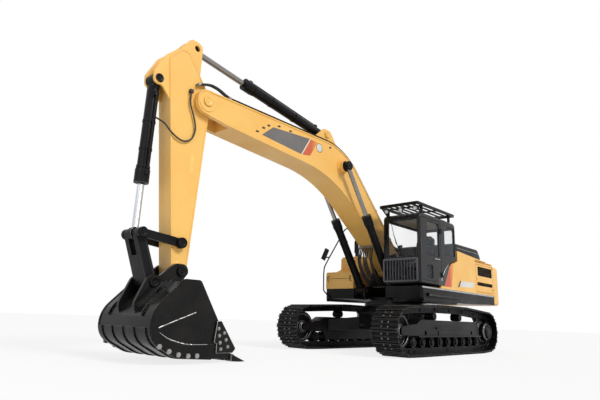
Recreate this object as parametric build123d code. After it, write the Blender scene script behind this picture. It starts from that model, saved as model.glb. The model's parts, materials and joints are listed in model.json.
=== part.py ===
from build123d import *
import os
from math import acos, atan2, cos, hypot, pi, radians, sin, tan

# A crawler excavator of the 36 tonne class. Millimetres, +Z up. The machine faces -Y and its cab is on +X,
# the operator's left. The origin is on the ground, under the slewing axis. The front stands with its
# bucket teeth on the ground, and every piece is drawn where it stands then.

# ---- driving dimensions ----
TRACK_CENTRE = 1295            # X of a track's middle
SHOE_WIDTH = 600
SHOES = 48                     # on each track
IDLER = (-2020, 505)           # (y, z) of the front idler's axle
SPROCKET = (2020, 510)         # (y, z) of the rear sprocket's axle
IDLER_TRACK_RADIUS = 500       # axle to the tips of the shoes' bars
SPROCKET_TRACK_RADIUS = 485
PLATE_THICKNESS = 13           # a shoe's plate
SHOE_THICKNESS = 45            # plate and bars
CHAIN_HEIGHT = 120             # link rails inside the shoes
RAIL_INNER, RAIL_OUTER = 45, 100   # a chain's two rails, from its middle
ROLLER_RADIUS = 110
CARRIER_RADIUS = 80
TRACK_TOP = 1070
ROLLER_YS = [-1560 + 390 * i for i in range(9)]
CARRIER_YS = [-600, 680]
FRAME_HALF = 150               # half width of a track frame's beam
LASHING_EYES = [(x, y) for x in (-400, 400) for y in (-815, 815)]   # on the car body's front and rear faces
LASHING_BORE = 30
LASHING_LOW, LASHING_THICKNESS = 560, 40
RING_TOP = 1150                # top of the slewing ring
RING_RADIUS = 720
DECK_LOW, DECK_HIGH = 1200, 1445
DECK_HALF = 1490
DECK_FRONT, DECK_REAR = -1290, 2660
TAIL = 3400
CYLINDER_BAY = 595             # half width of the bay for the boom and its cylinders
PANEL = 45                     # thickness of a body panel or a door

# pivots of the front, as (y, z)
BOOM_FOOT = (-150, 1950)
BOOM_TIP = (-6280, 4180)
BOOM_CYLINDER_FOOT = (-745, 1400)
BOOM_CYLINDER_EYE = (-2565, 3975)
ARM_CYLINDER_FOOT = (-2950, 4650)
ARM_CYLINDER_EYE = (-6470, 5140)
BUCKET_CYLINDER_FOOT = (-7150, 4300)
ROCKER_PIN = (-6520, 1745)
LINK_TOP = (-7195, 1815)       # rod eye, rockers and power link meet here
LINK_FOOT = (-6930, 1120)
BUCKET_PIN = (-6480, 1310)

BOOM_HALF = 280                # half widths, along X
ARM_HALF = 170
FORK_HALF = 190                # inside of the boom's fork
FLANGE = 12                    # how far top and bottom plates stand out past a web
BUCKET_HALF = 715
BUCKET_WALL = 30
BOOM_CYLINDER_X = 440
PIN = 55                       # radius of a main pin
FIT = 0.05                     # radial clearance of a pin in its bore
GAP = 5                        # clearance between pieces that move past each other


# ---- helpers ----
def outline(rows):
    """A closed face from rows of (first, second, corner radius)."""
    points = [(a, b) for a, b, _ in rows]
    return make_face(FilletPolyline(*points, radius=[r for _, _, r in rows], close=True))


def polygon(points):
    return make_face(Polyline(*points, close=True))


def opening(a_low, a_high, b_low, b_high, radius):
    """A rectangle with round corners between two pairs of limits."""
    middle = Pos((a_low + a_high) / 2, (b_low + b_high) / 2)
    return middle * RectangleRounded(a_high - a_low, b_high - b_low, radius)


def slab(face, x_low, x_high):
    """A face drawn in (y, z), as thick as from x_low to x_high."""
    return extrude(Plane.YZ.offset(x_low) * face, amount=x_high - x_low)


def wall(face, y_low, y_high):
    """A face drawn in (x, z), as thick as from y_low to y_high."""
    return extrude(Plane.XZ.offset(-y_high) * face, amount=y_high - y_low)


def plate(face, z_low, z_high):
    """A face drawn in (x, y), as thick as from z_low to z_high."""
    return Pos(0, 0, z_low) * extrude(face, amount=z_high - z_low)


def pair(face, x_low, x_high):
    """The same plate on both sides of the machine's middle."""
    return slab(face, x_low, x_high) + slab(face, -x_high, -x_low)


def block(x_low, x_high, y_low, y_high, z_low, z_high):
    middle = ((x_low + x_high) / 2, (y_low + y_high) / 2, (z_low + z_high) / 2)
    return Pos(*middle) * Box(x_high - x_low, y_high - y_low, z_high - z_low)


def across(point, radius, x_low, x_high):
    """A round bar along X through a (y, z) point."""
    middle = ((x_low + x_high) / 2, point[0], point[1])
    return Pos(*middle) * Rot(0, 90, 0) * Cylinder(radius, x_high - x_low)


def upright(x, y, radius, z_low, z_high):
    return Pos(x, y, (z_low + z_high) / 2) * Cylinder(radius, z_high - z_low)


def turned(point, x, side, rows):
    """A wheel or cover turned about X through (y, z). Rows: (distance out from x, radius, corner radius)."""
    section = outline([(x + side * out, radius, corner) for out, radius, corner in rows])
    return Pos(0, *point) * revolve(section, Axis.X)


def disc(point, radius):
    return Pos(point[0], point[1]) * Circle(radius)


def distance(a, b):
    return hypot(b[0] - a[0], b[1] - a[1])


def along(foot, eye, x):
    """A plane at the foot whose +Z points at the eye and whose X is the machine's."""
    return Plane(origin=(x, foot[0], foot[1]), x_dir=(1, 0, 0), z_dir=(0, eye[0] - foot[0], eye[1] - foot[1]))


# ---- undercarriage ----
def track_circles(inset):
    """Circles that the track runs round, as (centre, radius), anticlockwise from +X, pulled in by inset."""
    low = SHOE_THICKNESS + CHAIN_HEIGHT + ROLLER_RADIUS
    high = SHOE_THICKNESS + CHAIN_HEIGHT + CARRIER_RADIUS
    return [
        (IDLER, IDLER_TRACK_RADIUS - inset),
        ((ROLLER_YS[0], low), low - inset),
        ((ROLLER_YS[-1], low), low - inset),
        (SPROCKET, SPROCKET_TRACK_RADIUS - inset),
        ((CARRIER_YS[1], TRACK_TOP - high), high - inset),
        ((CARRIER_YS[0], TRACK_TOP - high), high - inset),
    ]


def run_angle(first, second):
    """Which way the straight run between two circles faces outwards, in radians from +Y."""
    (start, radius), (end, next_radius) = first, second
    heading = atan2(end[1] - start[1], end[0] - start[0])
    return heading - acos((radius - next_radius) / distance(start, end))


def ring_points(circles, steps):
    """Corners of a polygon whose sides touch the circles from outside, with so many sides round each."""
    points = []
    for i, (centre, radius) in enumerate(circles):
        start = run_angle(circles[i - 1], circles[i])
        turn = (run_angle(circles[i], circles[(i + 1) % len(circles)]) - start) % (2 * pi)
        step = turn / steps[i]
        for k in range(steps[i]):
            angle = start + (k + 0.5) * step
            reach = radius / cos(step / 2)
            points.append((centre[0] + reach * cos(angle), centre[1] + reach * sin(angle)))
    return points


# one shoe over its plate's inner face: (share of the pitch from its leading edge, height)
SHOE_PROFILE = [
    (0, PLATE_THICKNESS), (0.04, SHOE_THICKNESS), (0.11, SHOE_THICKNESS), (0.165, PLATE_THICKNESS),
    (0.43, PLATE_THICKNESS), (0.465, SHOE_THICKNESS), (0.545, SHOE_THICKNESS), (0.58, PLATE_THICKNESS),
    (0.835, PLATE_THICKNESS), (0.89, SHOE_THICKNESS), (0.96, SHOE_THICKNESS),
]


def shoe_corners():
    """Where neighbouring shoes meet, evenly spaced along the inner faces of their plates."""
    hull = make_hull([disc(centre, radius).edge() for centre, radius in track_circles(SHOE_THICKNESS)])
    belt = hull.face().outer_wire()
    pitch = belt.length / SHOES
    return [belt.position_at(i * pitch, position_mode=PositionMode.LENGTH) for i in range(SHOES)]


def track(side):
    """Shoes with three bars each round the loop, and inside them the chain's two rails."""
    corners = shoe_corners()
    middle = Vector(0, 500, 0)
    tips = []
    for start, end in zip(corners, corners[1:] + corners[:1]):
        ahead = end - start
        out = Vector(ahead.Y, -ahead.X, 0).normalized()
        if out.dot(start - middle) < 0:
            out = -out
        tips += [start + ahead * share + out * height for share, height in SHOE_PROFILE]
    x = side * TRACK_CENTRE
    inner = polygon(corners)
    loop = slab(polygon(tips) - inner, x - SHOE_WIDTH / 2, x + SHOE_WIDTH / 2)
    hollow = polygon(ring_points(track_circles(SHOE_THICKNESS + CHAIN_HEIGHT), [8, 1, 1, 8, 2, 2]))
    rail = inner - hollow
    return loop + slab(rail, x - RAIL_OUTER, x - RAIL_INNER) + slab(rail, x + RAIL_INNER, x + RAIL_OUTER)


def track_frame(side):
    """A box beam with a sloping top, ledges on its outer side, guard plates and the idler's fork."""
    x = side * TRACK_CENTRE
    low, high = x - FRAME_HALF, x + FRAME_HALF
    side_view = outline([
        (-1500, 400, 0), (-1500, 640, 60), (-1300, 740, 200), (1250, 740, 200),
        (1500, 700, 60), (1640, 640, 0), (1640, 400, 0),
    ])
    slit = opening(-570, -520, 410, 515, 20)
    body = slab(side_view - disc((-1112, 470), 48) - disc((1191, 480), 48) - slit, low, high)
    fork = outline([(-2090, 430, 60), (-2090, 590, 70), (-1500, 650, 0), (-1500, 410, 0)])
    for start, end in ((low, low + 40), (high - 40, high)):
        body += slab(fork, start, end)
    outer = side * FRAME_HALF
    # ledges on the outer side, as (y low, y high, z low, z high, how far out)
    for y_low, y_high, z_low, z_high, out in ((-1480, 1640, 385, 415, 50), (-650, 1010, 560, 590, 40)):
        x_low, x_high = sorted((x + outer, x + outer + side * out))
        body += block(x_low, x_high, y_low, y_high, z_low, z_high)
    guard = outline([(-1400, 430, 0), (-1280, 215, 60), (1280, 215, 60), (1400, 430, 0)])
    x_low, x_high = sorted((x - outer, x - outer - side * 22))
    body += slab(guard, x_low, x_high)
    for y in (-300, 0, 300):
        rib = polygon([(x - outer, 700), (x - outer - side * 60, 640), (x - outer, 520)])
        body += wall(rib, y - 12, y + 12)
    return body


def idler(side):
    """A wheel with a guide flange, a thin web and a long hub."""
    x = side * TRACK_CENTRE
    tread = IDLER_TRACK_RADIUS - SHOE_THICKNESS - CHAIN_HEIGHT
    wheel = across(IDLER, tread, x - 95, x + 95) + across(IDLER, tread + 22, x - 40, x + 40)
    pocket = disc(IDLER, tread - 50) - disc(IDLER, 130)
    for start, end in ((x - 96, x - 30), (x + 30, x + 96)):
        wheel -= slab(pocket, start, end)
    return wheel + across(IDLER, 90, x - 109, x + 109)


SPROCKET_TEETH = 11


def sprocket(side):
    """A toothed wheel between the chain's rails, the drive's stepped cover outside and its motor inside."""
    x = side * TRACK_CENTRE
    tread = SPROCKET_TRACK_RADIUS - SHOE_THICKNESS - CHAIN_HEIGHT
    teeth = disc(SPROCKET, tread + 55)
    for k in range(SPROCKET_TEETH):
        angle = 2 * pi * k / SPROCKET_TEETH
        seat = (SPROCKET[0] + (tread + 60) * cos(angle), SPROCKET[1] + (tread + 60) * sin(angle))
        teeth -= disc(seat, 62)
    wheel = slab(teeth, x - 38, x + 38)
    wheel += turned(SPROCKET, x, side, [
        (38, 0, 0), (38, 250, 0), (70, 250, 0), (70, 222, 0), (190, 212, 0), (208, 194, 0), (215, 150, 0),
        (238, 140, 0), (238, 0, 0),
    ])
    wheel += turned(SPROCKET, x, -side, [
        (38, 0, 0), (38, 240, 0), (90, 240, 0), (90, 205, 0), (212, 190, 0), (230, 172, 0), (230, 0, 0),
    ])
    return wheel


def rollers(side):
    """Track rollers with end flanges on brackets under the beam, and two carrier rollers on top."""
    x = side * TRACK_CENTRE
    low = SHOE_THICKNESS + CHAIN_HEIGHT + ROLLER_RADIUS
    high = TRACK_TOP - SHOE_THICKNESS - CHAIN_HEIGHT - CARRIER_RADIUS
    wheels = []
    for y in ROLLER_YS:
        wheel = across((y, low), ROLLER_RADIUS, x - 112, x + 112) + across((y, low), 62, x - 140, x + 140)
        wheels.append(wheel + block(x - 40, x + 40, y - 50, y + 50, low, 400))
    for y in CARRIER_YS:
        wheel = across((y, high), CARRIER_RADIUS, x - 110, x + 110)
        wheels.append(wheel + block(x - 45, x + 45, y - 60, y + 60, 740, high))
    return Compound(wheels)


def car_body():
    """The centre box under the slewing ring, with four tapering legs out to the track frames."""
    plan = outline([
        (-720, -560, 0), (-520, -760, 0), (520, -760, 0), (720, -560, 0),
        (720, 560, 0), (520, 760, 0), (-520, 760, 0), (-720, 560, 0),
    ])
    body = plate(plan, 480, 860) + upright(0, 0, 740, 800, 1040)
    body += Pos(0, 0, 950) * Cone(940, RING_RADIUS + 40, 180)
    body -= plate(opening(-330, 330, -330, 330, 60), 479, 520)
    inner = TRACK_CENTRE - FRAME_HALF
    for side in (-1, 1):
        for end in (-1, 1):
            root = Plane.YZ.offset(side * 540) * Pos(end * 490, 610) * Rectangle(500, 330)
            tip = Plane.YZ.offset(side * inner) * Pos(end * 900, 560) * Rectangle(520, 250)
            body += loft([root, tip], ruled=True)
    for x, y in LASHING_EYES:
        end = 1 if y > 0 else -1
        lug = outline([
            (x - 70, end * 750, 0), (x - 70, end * 880, 60), (x + 70, end * 880, 60), (x + 70, end * 750, 0),
        ])
        body += plate(lug - disc((x, y), LASHING_BORE), LASHING_LOW, LASHING_LOW + LASHING_THICKNESS)
    return body


def slewing_ring():
    ring = upright(0, 0, RING_RADIUS, 1040, RING_TOP) - upright(0, 0, RING_RADIUS - 120, 1039, RING_TOP + 1)
    groove = upright(0, 0, RING_RADIUS + 1, 1092, 1100) - upright(0, 0, RING_RADIUS - 12, 1091, 1101)
    return ring - groove


# ---- upper structure ----
def revolving_frame():
    """The deck with its bay for the cylinders, skirts, side step, and the cheeks that hold the boom."""
    half, front = DECK_HALF, DECK_FRONT
    plan = outline([
        (half, front, 60), (half, DECK_REAR, 0), (-half, DECK_REAR, 0), (-half, -870, 60),
        (-CYLINDER_BAY, -870, 0), (-CYLINDER_BAY, -600, 0), (CYLINDER_BAY, -600, 0), (CYLINDER_BAY, front, 0),
    ])
    deck = plate(plan, DECK_LOW, DECK_HIGH)
    deck -= block(-290, 290, -601, 60, DECK_LOW + 40, DECK_HIGH + 1)
    deck += upright(0, 0, 580, RING_TOP + 1, DECK_LOW)
    # tray under the cab, deepest at the front
    tray = outline([(front + 30, 1112, 25), (front, 1200, 0), (520, 1200, 0), (380, 1112, 25)])
    deck += slab(tray, RING_RADIUS + 40, half - 30)
    # skirts along both sides, as (side, y at the front)
    for side, start in ((1, front + 45), (-1, -825)):
        skirt = outline([
            (start, 1130, 30), (start, 1300, 0), (DECK_REAR, 1300, 0), (DECK_REAR, 1215, 0), (900, 1160, 0),
        ])
        x_low, x_high = sorted((side * (half - 28), side * half))
        deck += slab(skirt, x_low, x_high)
    for z in (1236, 1290):
        deck += block(half - 2, half + 62, -1100, 560, z, z + 14)
    for y in (-1060, -270, 520):
        deck += block(half - 2, half + 40, y, y + 20, 1236, 1304)
    cheek = outline([
        (-840, 1200, 60), (-840, 1490, 85), (-620, 1500, 60), (-330, 2130, 170),
        (40, 2130, 150), (420, 1440, 0), (420, 1240, 0), (-600, 1200, 0),
    ])
    bore = disc(BOOM_FOOT, PIN) + disc(BOOM_CYLINDER_FOOT, PIN)
    cheeks = pair(cheek - bore, 290, 335)
    lug = outline([(-835, 1240, 60), (-835, 1490, 85), (-600, 1490, 60), (-500, 1240, 0)])
    cheeks += pair(lug - disc(BOOM_CYLINDER_FOOT, PIN), 545, 575)
    return deck + cheeks


def house_pins():
    bars = across(BOOM_FOOT, PIN, -343, 343)
    left = across(BOOM_CYLINDER_FOOT, PIN, 290, 583)
    right = across(BOOM_CYLINDER_FOOT, PIN, -583, -290)
    return Compound([bars, left, right])


def counterweight():
    """A cast block rounded in plan, its rim rolled over at the top and drawn in at the bottom."""
    plan = outline([
        (DECK_HALF, DECK_REAR + 2, 0), (DECK_HALF, 3050, 250), (1000, TAIL, 700),
        (-1000, TAIL, 700), (-DECK_HALF, 3050, 250), (-DECK_HALF, DECK_REAR + 2, 0),
    ])
    body = plate(plan, DECK_LOW, 2250)
    rims = body.edges().filter_by(lambda e: e.center().Y > DECK_REAR + 20)
    top, bottom = rims.group_by(Axis.Z)[-1], rims.group_by(Axis.Z)[0]
    body = fillet(top, 110)
    body = chamfer(body.edges().filter_by(lambda e: e.center().Y > DECK_REAR + 20).group_by(Axis.Z)[0], 45)
    for x in (-1050, 1050):
        body -= wall(opening(x - 160, x + 160, 1760, 1860, 30), TAIL - 90, TAIL + 1)
    for x in (-620, 620):
        body -= upright(x, 3000, 70, 2200, 2251)
    return body


CAB = dict(x_low=560, x_high=1490, y_low=-1350, y_high=420, z_low=1500, z_high=3050)
CAB_WALL = 55
# windows of the cab's own walls, as limits of the opening and its corner radius
WINDSCREEN = (690, 1425, 2082, 2938, 75)          # x, z
LOWER_SCREEN = (690, 1425, 1575, 1990, 30)
REAR_WINDOW = (690, 1425, 2300, 2900, 60)
RIGHT_WINDOW = (-1200, 260, 2150, 2910, 70)       # y, z
QUARTER_WINDOW = (-175, 350, 2215, 2915, 70)
DOORWAY = (-1265, -375, 1570, 2965, 60)
DOOR_UPPER = (-1030, -440, 2130, 2905, 60)
DOOR_LOWER = (-1030, -770, 1630, 1925, 40)


def cab_side_rows(inset):
    """The cab's side view, its lower rear corner cut away over the body panel."""
    front, rear = CAB["y_low"] + inset, CAB["y_high"] - inset
    low, high = CAB["z_low"] + inset, CAB["z_high"] - inset
    return outline([
        (front, low, 40), (front, high, 120), (rear, high, 120), (rear, 2160 + inset, 60),
        (0, 1990 + inset, 150), (-430 - inset, low, 60),
    ])


def cab_shell():
    left, front, rear, thick = CAB["x_high"], CAB["y_low"], CAB["y_high"], CAB_WALL
    shell = slab(cab_side_rows(0), CAB["x_low"], left)
    posts = shell.edges().filter_by(Axis.Z)
    shell = fillet(posts.group_by(Axis.Y)[0] + posts.group_by(Axis.Y)[-1], 50)
    shell -= slab(cab_side_rows(thick), CAB["x_low"] + thick, left - thick)
    for rows in (WINDSCREEN, LOWER_SCREEN):
        shell -= wall(opening(*rows), front - 1, front + thick + 1)
    shell -= wall(opening(*REAR_WINDOW), rear - thick - 1, rear + 1)
    shell -= slab(opening(*RIGHT_WINDOW), 559, 560 + thick + 1)
    for rows in (QUARTER_WINDOW, DOORWAY):
        shell -= slab(opening(*rows), left - thick - 1, left + 1)
    hatch = plate(opening(640, 1410, -1080, 120, 60), CAB["z_high"] - 5, CAB["z_high"] + 28)
    return shell + hatch


HINGE_RADIUS = 16
CAB_HINGE = (1512, -375)       # (x, y) of the cab door's hinge axis


def cab_door():
    """Window frame and lower panel, with two hinge knuckles at its rear edge."""
    left, thick = CAB["x_high"], CAB_WALL
    y_low, y_high, z_low, z_high, radius = DOORWAY
    leaf = opening(y_low + 10, y_high - 10, z_low + 10, z_high - 10, radius - 10)
    door = slab(leaf, left - thick, left - 2)
    for rows in (DOOR_UPPER, DOOR_LOWER):
        door -= slab(opening(*rows), left - thick - 1, left)
    for z in (1750, 2750):
        door += upright(*CAB_HINGE, HINGE_RADIUS, z - 60, z + 60)
        door += block(left - 10, CAB_HINGE[0], CAB_HINGE[1] - 40, CAB_HINGE[1] - 8, z - 40, z + 40)
    return door


def cab_glass():
    left, front, rear = CAB["x_high"], CAB["y_low"], CAB["y_high"]
    panes = [wall(opening(*rows), front + 20, front + 28) for rows in (WINDSCREEN, LOWER_SCREEN)]
    panes.append(wall(opening(*REAR_WINDOW), rear - 28, rear - 20))
    panes.append(slab(opening(*RIGHT_WINDOW), 580, 588))
    panes.append(slab(opening(*QUARTER_WINDOW), left - 28, left - 20))
    return Compound(panes)


def door_glass():
    left = CAB["x_high"]
    return Compound([slab(opening(*rows), left - 32, left - 24) for rows in (DOOR_UPPER, DOOR_LOWER)])


GUARD = dict(x_low=560, x_high=1540, y_low=-1510, y_high=300, z_low=3190, z_high=3250)


def cab_guard():
    """Roof guard: a frame of bars, a lattice inside it, and short posts with gussets."""
    x_low, x_high, y_low, y_high = GUARD["x_low"], GUARD["x_high"], GUARD["y_low"], GUARD["y_high"]
    low, high = GUARD["z_low"], GUARD["z_high"]
    frame = opening(x_low, x_high, y_low, y_high, 40)
    frame -= opening(x_low + 45, x_high - 45, y_low + 45, y_high - 45, 20)
    guard = plate(frame, low, high)
    for i in range(5):
        x = x_low + 45 + (i + 1) * (x_high - x_low - 90) / 6
        guard += block(x - 12, x + 12, y_low + 40, y_high - 40, low + 12, high - 12)
    for y in (-1180, -515, 150):
        guard += block(x_low + 40, x_high - 40, y - 14, y + 14, low + 8, high - 20)
    for x, y in ((600, -1180), (1450, -1180), (600, 150), (1450, 150)):
        guard += block(x - 22, x + 22, y - 30, y + 30, CAB["z_high"], low + 20)
    for x in (600, 1450):
        roof = CAB["z_high"]
        strut = polygon([(-1150, roof), (-1150, 3080), (-1450, low + 10), (-1490, low + 10), (-1240, roof)])
        guard += slab(strut, x - 10, x + 10)
    return guard


def front_grille():
    """Upright bars before the lower window, between two rails."""
    front = CAB["y_low"]
    low, high = 1530, 2045
    frame = opening(590, 1450, low, high, 40) - opening(625, 1415, low + 30, high - 45, 20)
    grille = wall(frame, front - 55, front - 25)
    for x in (612, 1428):
        for z in (1600, 1960):
            grille += block(x - 14, x + 14, front - 30, front, z - 20, z + 20)
    for i in range(10):
        x = 625 + (i + 1) * 790 / 11
        grille += block(x - 9, x + 9, front - 52, front - 32, low + 20, high - 35)
    return grille


def seat():
    """Suspension base, cushion, back and the two consoles with their levers' boxes."""
    base = block(900, 1150, -760, -520, 1555, 1900) + block(780, 1270, -820, -280, 1900, 2030)
    lean = outline([(-330, 2030, 0), (-270, 2700, 60), (-160, 2700, 40), (-200, 2030, 0)])
    back = slab(lean, 800, 1250)
    console = outline([
        (-1020, 2090, 50), (-1020, 2180, 30), (-520, 2200, 30), (-520, 1555, 0),
        (-760, 1555, 0), (-800, 2000, 80),
    ])
    return base + back + slab(console, 640, 760) + slab(console, 1290, 1410)


SIDE_TOP = 2340
SIDE_DOOR = (1520, 2620, DECK_HIGH + 45, 2200)     # y, z limits of its opening
SIDE_HINGE = (1508, 2616)                          # (x, y) of its axis
# louvres of a door and of the panel above it, as (y low, y high, z low, z high, slats)
DOOR_LOUVRES = [(1650, 2570, 1905, 2145, 5), (1600, 2580, 1655, 1745, 2)]
UPPER_LOUVRE = (1500, 2530, 2232, 2302, 2)


def louvred(panel, side, rows):
    """Cuts an opening through a side panel and sets slanting slats in it."""
    outer, inner = side * (DECK_HALF - 2), side * (DECK_HALF - PANEL + 5)
    for y_low, y_high, z_low, z_high, slats in rows:
        x_low, x_high = sorted((outer + side * 5, inner - side * 10))
        panel -= slab(opening(y_low, y_high, z_low, z_high, 12), x_low, x_high)
        rise = (z_high - z_low) / slats
        for i in range(slats):
            z = z_low + (i + 0.5) * rise
            slat = polygon([
                (outer - side * 4, z - rise * 0.45), (outer - side * 4, z - rise * 0.45 + 8),
                (inner + side * 4, z + rise * 0.4), (inner + side * 4, z + rise * 0.4 - 8),
            ])
            panel += wall(slat, y_low - 2, y_high + 2)
    return panel


def engine_house():
    """Panels round the engine bay: side walls with louvres, front wall, roof with its hatch."""
    half, thick = DECK_HALF, PANEL
    side_view = outline([
        (-430, DECK_HIGH, 0), (DECK_REAR, DECK_HIGH, 0), (DECK_REAR, SIDE_TOP - 60, 80),
        (480, SIDE_TOP + 60, 40), (480, 2150, 0), (30, 1970, 100),
    ])
    left = slab(side_view, half - thick, half - 2)
    right_view = outline([
        (1300, DECK_HIGH, 0), (DECK_REAR, DECK_HIGH, 0),
        (DECK_REAR, SIDE_TOP - 60, 80), (1300, SIDE_TOP + 20, 0),
    ])
    right = slab(right_view, -half + 2, -half + thick)
    sides = []
    for side, panel in ((1, left), (-1, right)):
        x_low, x_high = sorted((side * (half - thick - 1), side * (half + 1)))
        panel -= slab(opening(*SIDE_DOOR, 30), x_low, x_high)
        sides.append(louvred(panel, side, [UPPER_LOUVRE]))
    house = sides[0] + sides[1]
    house += block(-615, half - thick, 480, 480 + thick, DECK_HIGH, 2300)
    house += block(-615, half - thick, 480, DECK_REAR, 2300 - thick, 2300)
    house += block(-half + thick, -615, 1300, DECK_REAR, 2300 - thick, 2300)
    return house - block(-800, 1150, 1010, 2560, 2200, 2400)


def side_door(side):
    """A louvred door with a recessed handle, and two hinge knuckles at its rear edge."""
    y_low, y_high, z_low, z_high = SIDE_DOOR
    hinge_x, hinge_y = SIDE_HINGE
    x_low, x_high = sorted((side * (DECK_HALF - PANEL + 5), side * (DECK_HALF - 2)))
    door = slab(opening(y_low + 10, y_high - 10, z_low + 10, z_high - 10, 22), x_low, x_high)
    door = louvred(door, side, DOOR_LOUVRES)
    for z in (1600, 2170):
        door += upright(side * hinge_x, hinge_y, 10, z - 20, z + 20)
        low, high = sorted((side * (DECK_HALF - 5), side * hinge_x))
        door += block(low, high, hinge_y - 30, hinge_y - 6, z - 16, z + 16)
    handle = opening(y_low + 40, y_low + 75, 1780, 1880, 12)
    return door - slab(handle, *sorted((side * (DECK_HALF - 12), side * DECK_HALF)))


HOOD_HINGE = (988, 2320)       # (y, z)


def hood():
    """A lid of sheet steel, its rear end sloping and its long edges rounded, hinged at its front."""
    side_view = outline([
        (1000, 2305, 0), (1000, 2640, 30), (1060, 2690, 70),
        (2430, 2690, 90), (2590, 2500, 60), (2600, 2305, 0),
    ])
    lid = slab(side_view, -850, 1200)
    lid = fillet(lid.edges().filter_by(Axis.Y).group_by(Axis.Z)[-1], 60)
    inside = outline([
        (1025, 2304, 0), (1025, 2620, 10), (1070, 2665, 45),
        (2415, 2665, 70), (2566, 2490, 35), (2575, 2304, 0),
    ])
    lid -= slab(inside, -825, 1175)
    for x in (-500, 175, 850):
        lid += across(HOOD_HINGE, 14, x - 60, x + 60)
    return lid


def engine():
    return block(-650, 550, 1450, 2350, DECK_HIGH, 2150)


def tanks():
    """Fuel and oil tank: a shoulder along the outer side, rounded top edges and a filler neck."""
    front, rear = -480, 1290
    section = outline([
        (-DECK_HALF, DECK_HIGH, 0), (-DECK_HALF, 1900, 70), (-1300, 1960, 50), (-1300, 2290, 90),
        (-620, 2290, 60), (-620, DECK_HIGH, 0),
    ])
    body = wall(section, front, rear)
    neck = upright(-1000, 900, 70, 2280, 2330) + upright(-1000, 900, 85, 2330, 2360)
    return body + neck


def air_intake():
    """A stand pipe on the tank with a dust bowl, and a whip aerial on top."""
    profile = outline([
        (0, 2290, 0), (60, 2290, 0), (60, 2305, 0), (34, 2315, 0), (34, 2440, 0), (58, 2470, 15),
        (58, 2760, 20), (40, 2800, 15), (8, 2810, 0), (8, 3130, 0), (0, 3130, 0),
    ])
    return Pos(-1150, 0, 0) * revolve(Plane.XZ * profile, Axis.Z)


def tool_box():
    """A box with a pressed front, open at the top under its lid."""
    box = block(-DECK_HALF + 10, -620, -870, -482, DECK_HIGH, 1830)
    box -= wall(opening(-1420, -690, 1500, 1775, 30), -871, -858)
    return box - block(-DECK_HALF + 40, -650, -840, -512, DECK_HIGH + 30, 1831)


LID_HINGE = (-494, 1874)       # (y, z)


def tool_box_lid():
    """The lid, with two hinge leaves and knuckles along its rear edge."""
    lid = block(-DECK_HALF + 10, -620, -870, -500, 1832, 1862)
    lid = fillet(lid.edges().filter_by(Axis.Z).group_by(Axis.Y)[0], 40)
    for x in (-1300, -800):
        lid += across(LID_HINGE, 8, x - 40, x + 40) + block(x - 36, x + 36, -545, LID_HINGE[0], 1860, 1870)
    return lid


def exhaust():
    """A stack with a flange at its foot and a mouth cut at a slant."""
    stack = upright(-1050, 2100, 75, 2300, 2950) + upright(-1050, 2100, 110, 2300, 2320)
    stack -= upright(-1050, 2100, 66, 2500, 2951)
    return stack - Pos(-1050, 2100, 2990) * Rot(25, 0, 0) * Box(300, 300, 120)


RAIL_Y = -902                  # plane of the front rail, clear of the tool box's lid
RAIL_RADIUS = 16


def handrails():
    """A rail from the deck's front right corner, leaning in over the tool box and down to the tank."""
    rail = FilletPolyline(
        (-1366, RAIL_Y, 1250), (-1532, RAIL_Y, 1405), (-1540, RAIL_Y, 1820), (-1525, RAIL_Y, 2000),
        (-1400, RAIL_Y, 2194), (-852, RAIL_Y, 2969), (-852, -380, 2969), (-852, -380, 2290),
        radius=[60, 400, 150, 600, 90, 90])
    tube = sweep(Plane(origin=rail @ 0, z_dir=rail % 0) * Circle(RAIL_RADIUS), path=rail)
    return tube + block(-1400, -1340, RAIL_Y - RAIL_RADIUS, -870, 1225, 1262)


def mirrors():
    """A mirror on the front rail: a shallow cup with a rim, on a short arm clamped to the rail."""
    cup = Box(120, 36, 290) + Pos(0, 12, 0) * Box(140, 12, 310)
    face = RAIL_Y - RAIL_RADIUS
    arm = block(-1480, -1345, face - 16, face, 2235, 2265)
    return Pos(-1478, face - 26, 2330) * Rot(0, 28, 0) * cup + arm


# ---- boom ----
BOOM_ROWS = [
    (-6480, 4385, 195), (-6480, 3985, 195), (-5850, 3895, 300), (-2881, 3707, 3100),
    (-237, 1828, 0), (-20, 2081, 0), (-2450, 4425, 1550),
]


def boom():
    """A welded box: webs set in from the edges of its top and bottom plates, with bosses at the pins."""
    side_view = outline(BOOM_ROWS)
    body = slab(side_view + disc(BOOM_FOOT, 185), -BOOM_HALF, BOOM_HALF)
    bosses = disc(BOOM_FOOT, 210) + disc(BOOM_TIP, 175) + disc(BOOM_CYLINDER_EYE, 175)
    web = offset(side_view, amount=-26) - bosses
    body -= slab(web, BOOM_HALF - FLANGE, BOOM_HALF + 1) + slab(web, -BOOM_HALF - 1, -BOOM_HALF + FLANGE)
    throat = outline([(-6600, 4600, 0), (-6600, 3700, 0), (-5720, 3700, 0), (-5830, 4600, 0)])
    body -= slab(throat, -FORK_HALF, FORK_HALF)
    ears = outline([
        (-3480, 4380, 0), (-3060, 4760, 110), (-2840, 4760, 110), (-2500, 4360, 0),
    ]) - disc(ARM_CYLINDER_FOOT, PIN)
    body += pair(ears, 105, 145)
    for x_low, x_high in ((145, 160), (-160, -145)):
        body += slab(disc(ARM_CYLINDER_FOOT, 90) - disc(ARM_CYLINDER_FOOT, PIN), x_low, x_high)
    body += across(BOOM_CYLINDER_EYE, 130, -385, 385) + across(BOOM_CYLINDER_EYE, 160, -300, 300)
    body -= across(BOOM_FOOT, PIN + FIT, -500, 500)
    body -= across(BOOM_TIP, PIN, -500, 500)
    return body


def boom_pins():
    return Compound([
        across(BOOM_TIP, PIN, -BOOM_HALF - 12, BOOM_HALF + 12),
        across(ARM_CYLINDER_FOOT, PIN, -166, 166),
    ])


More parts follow.
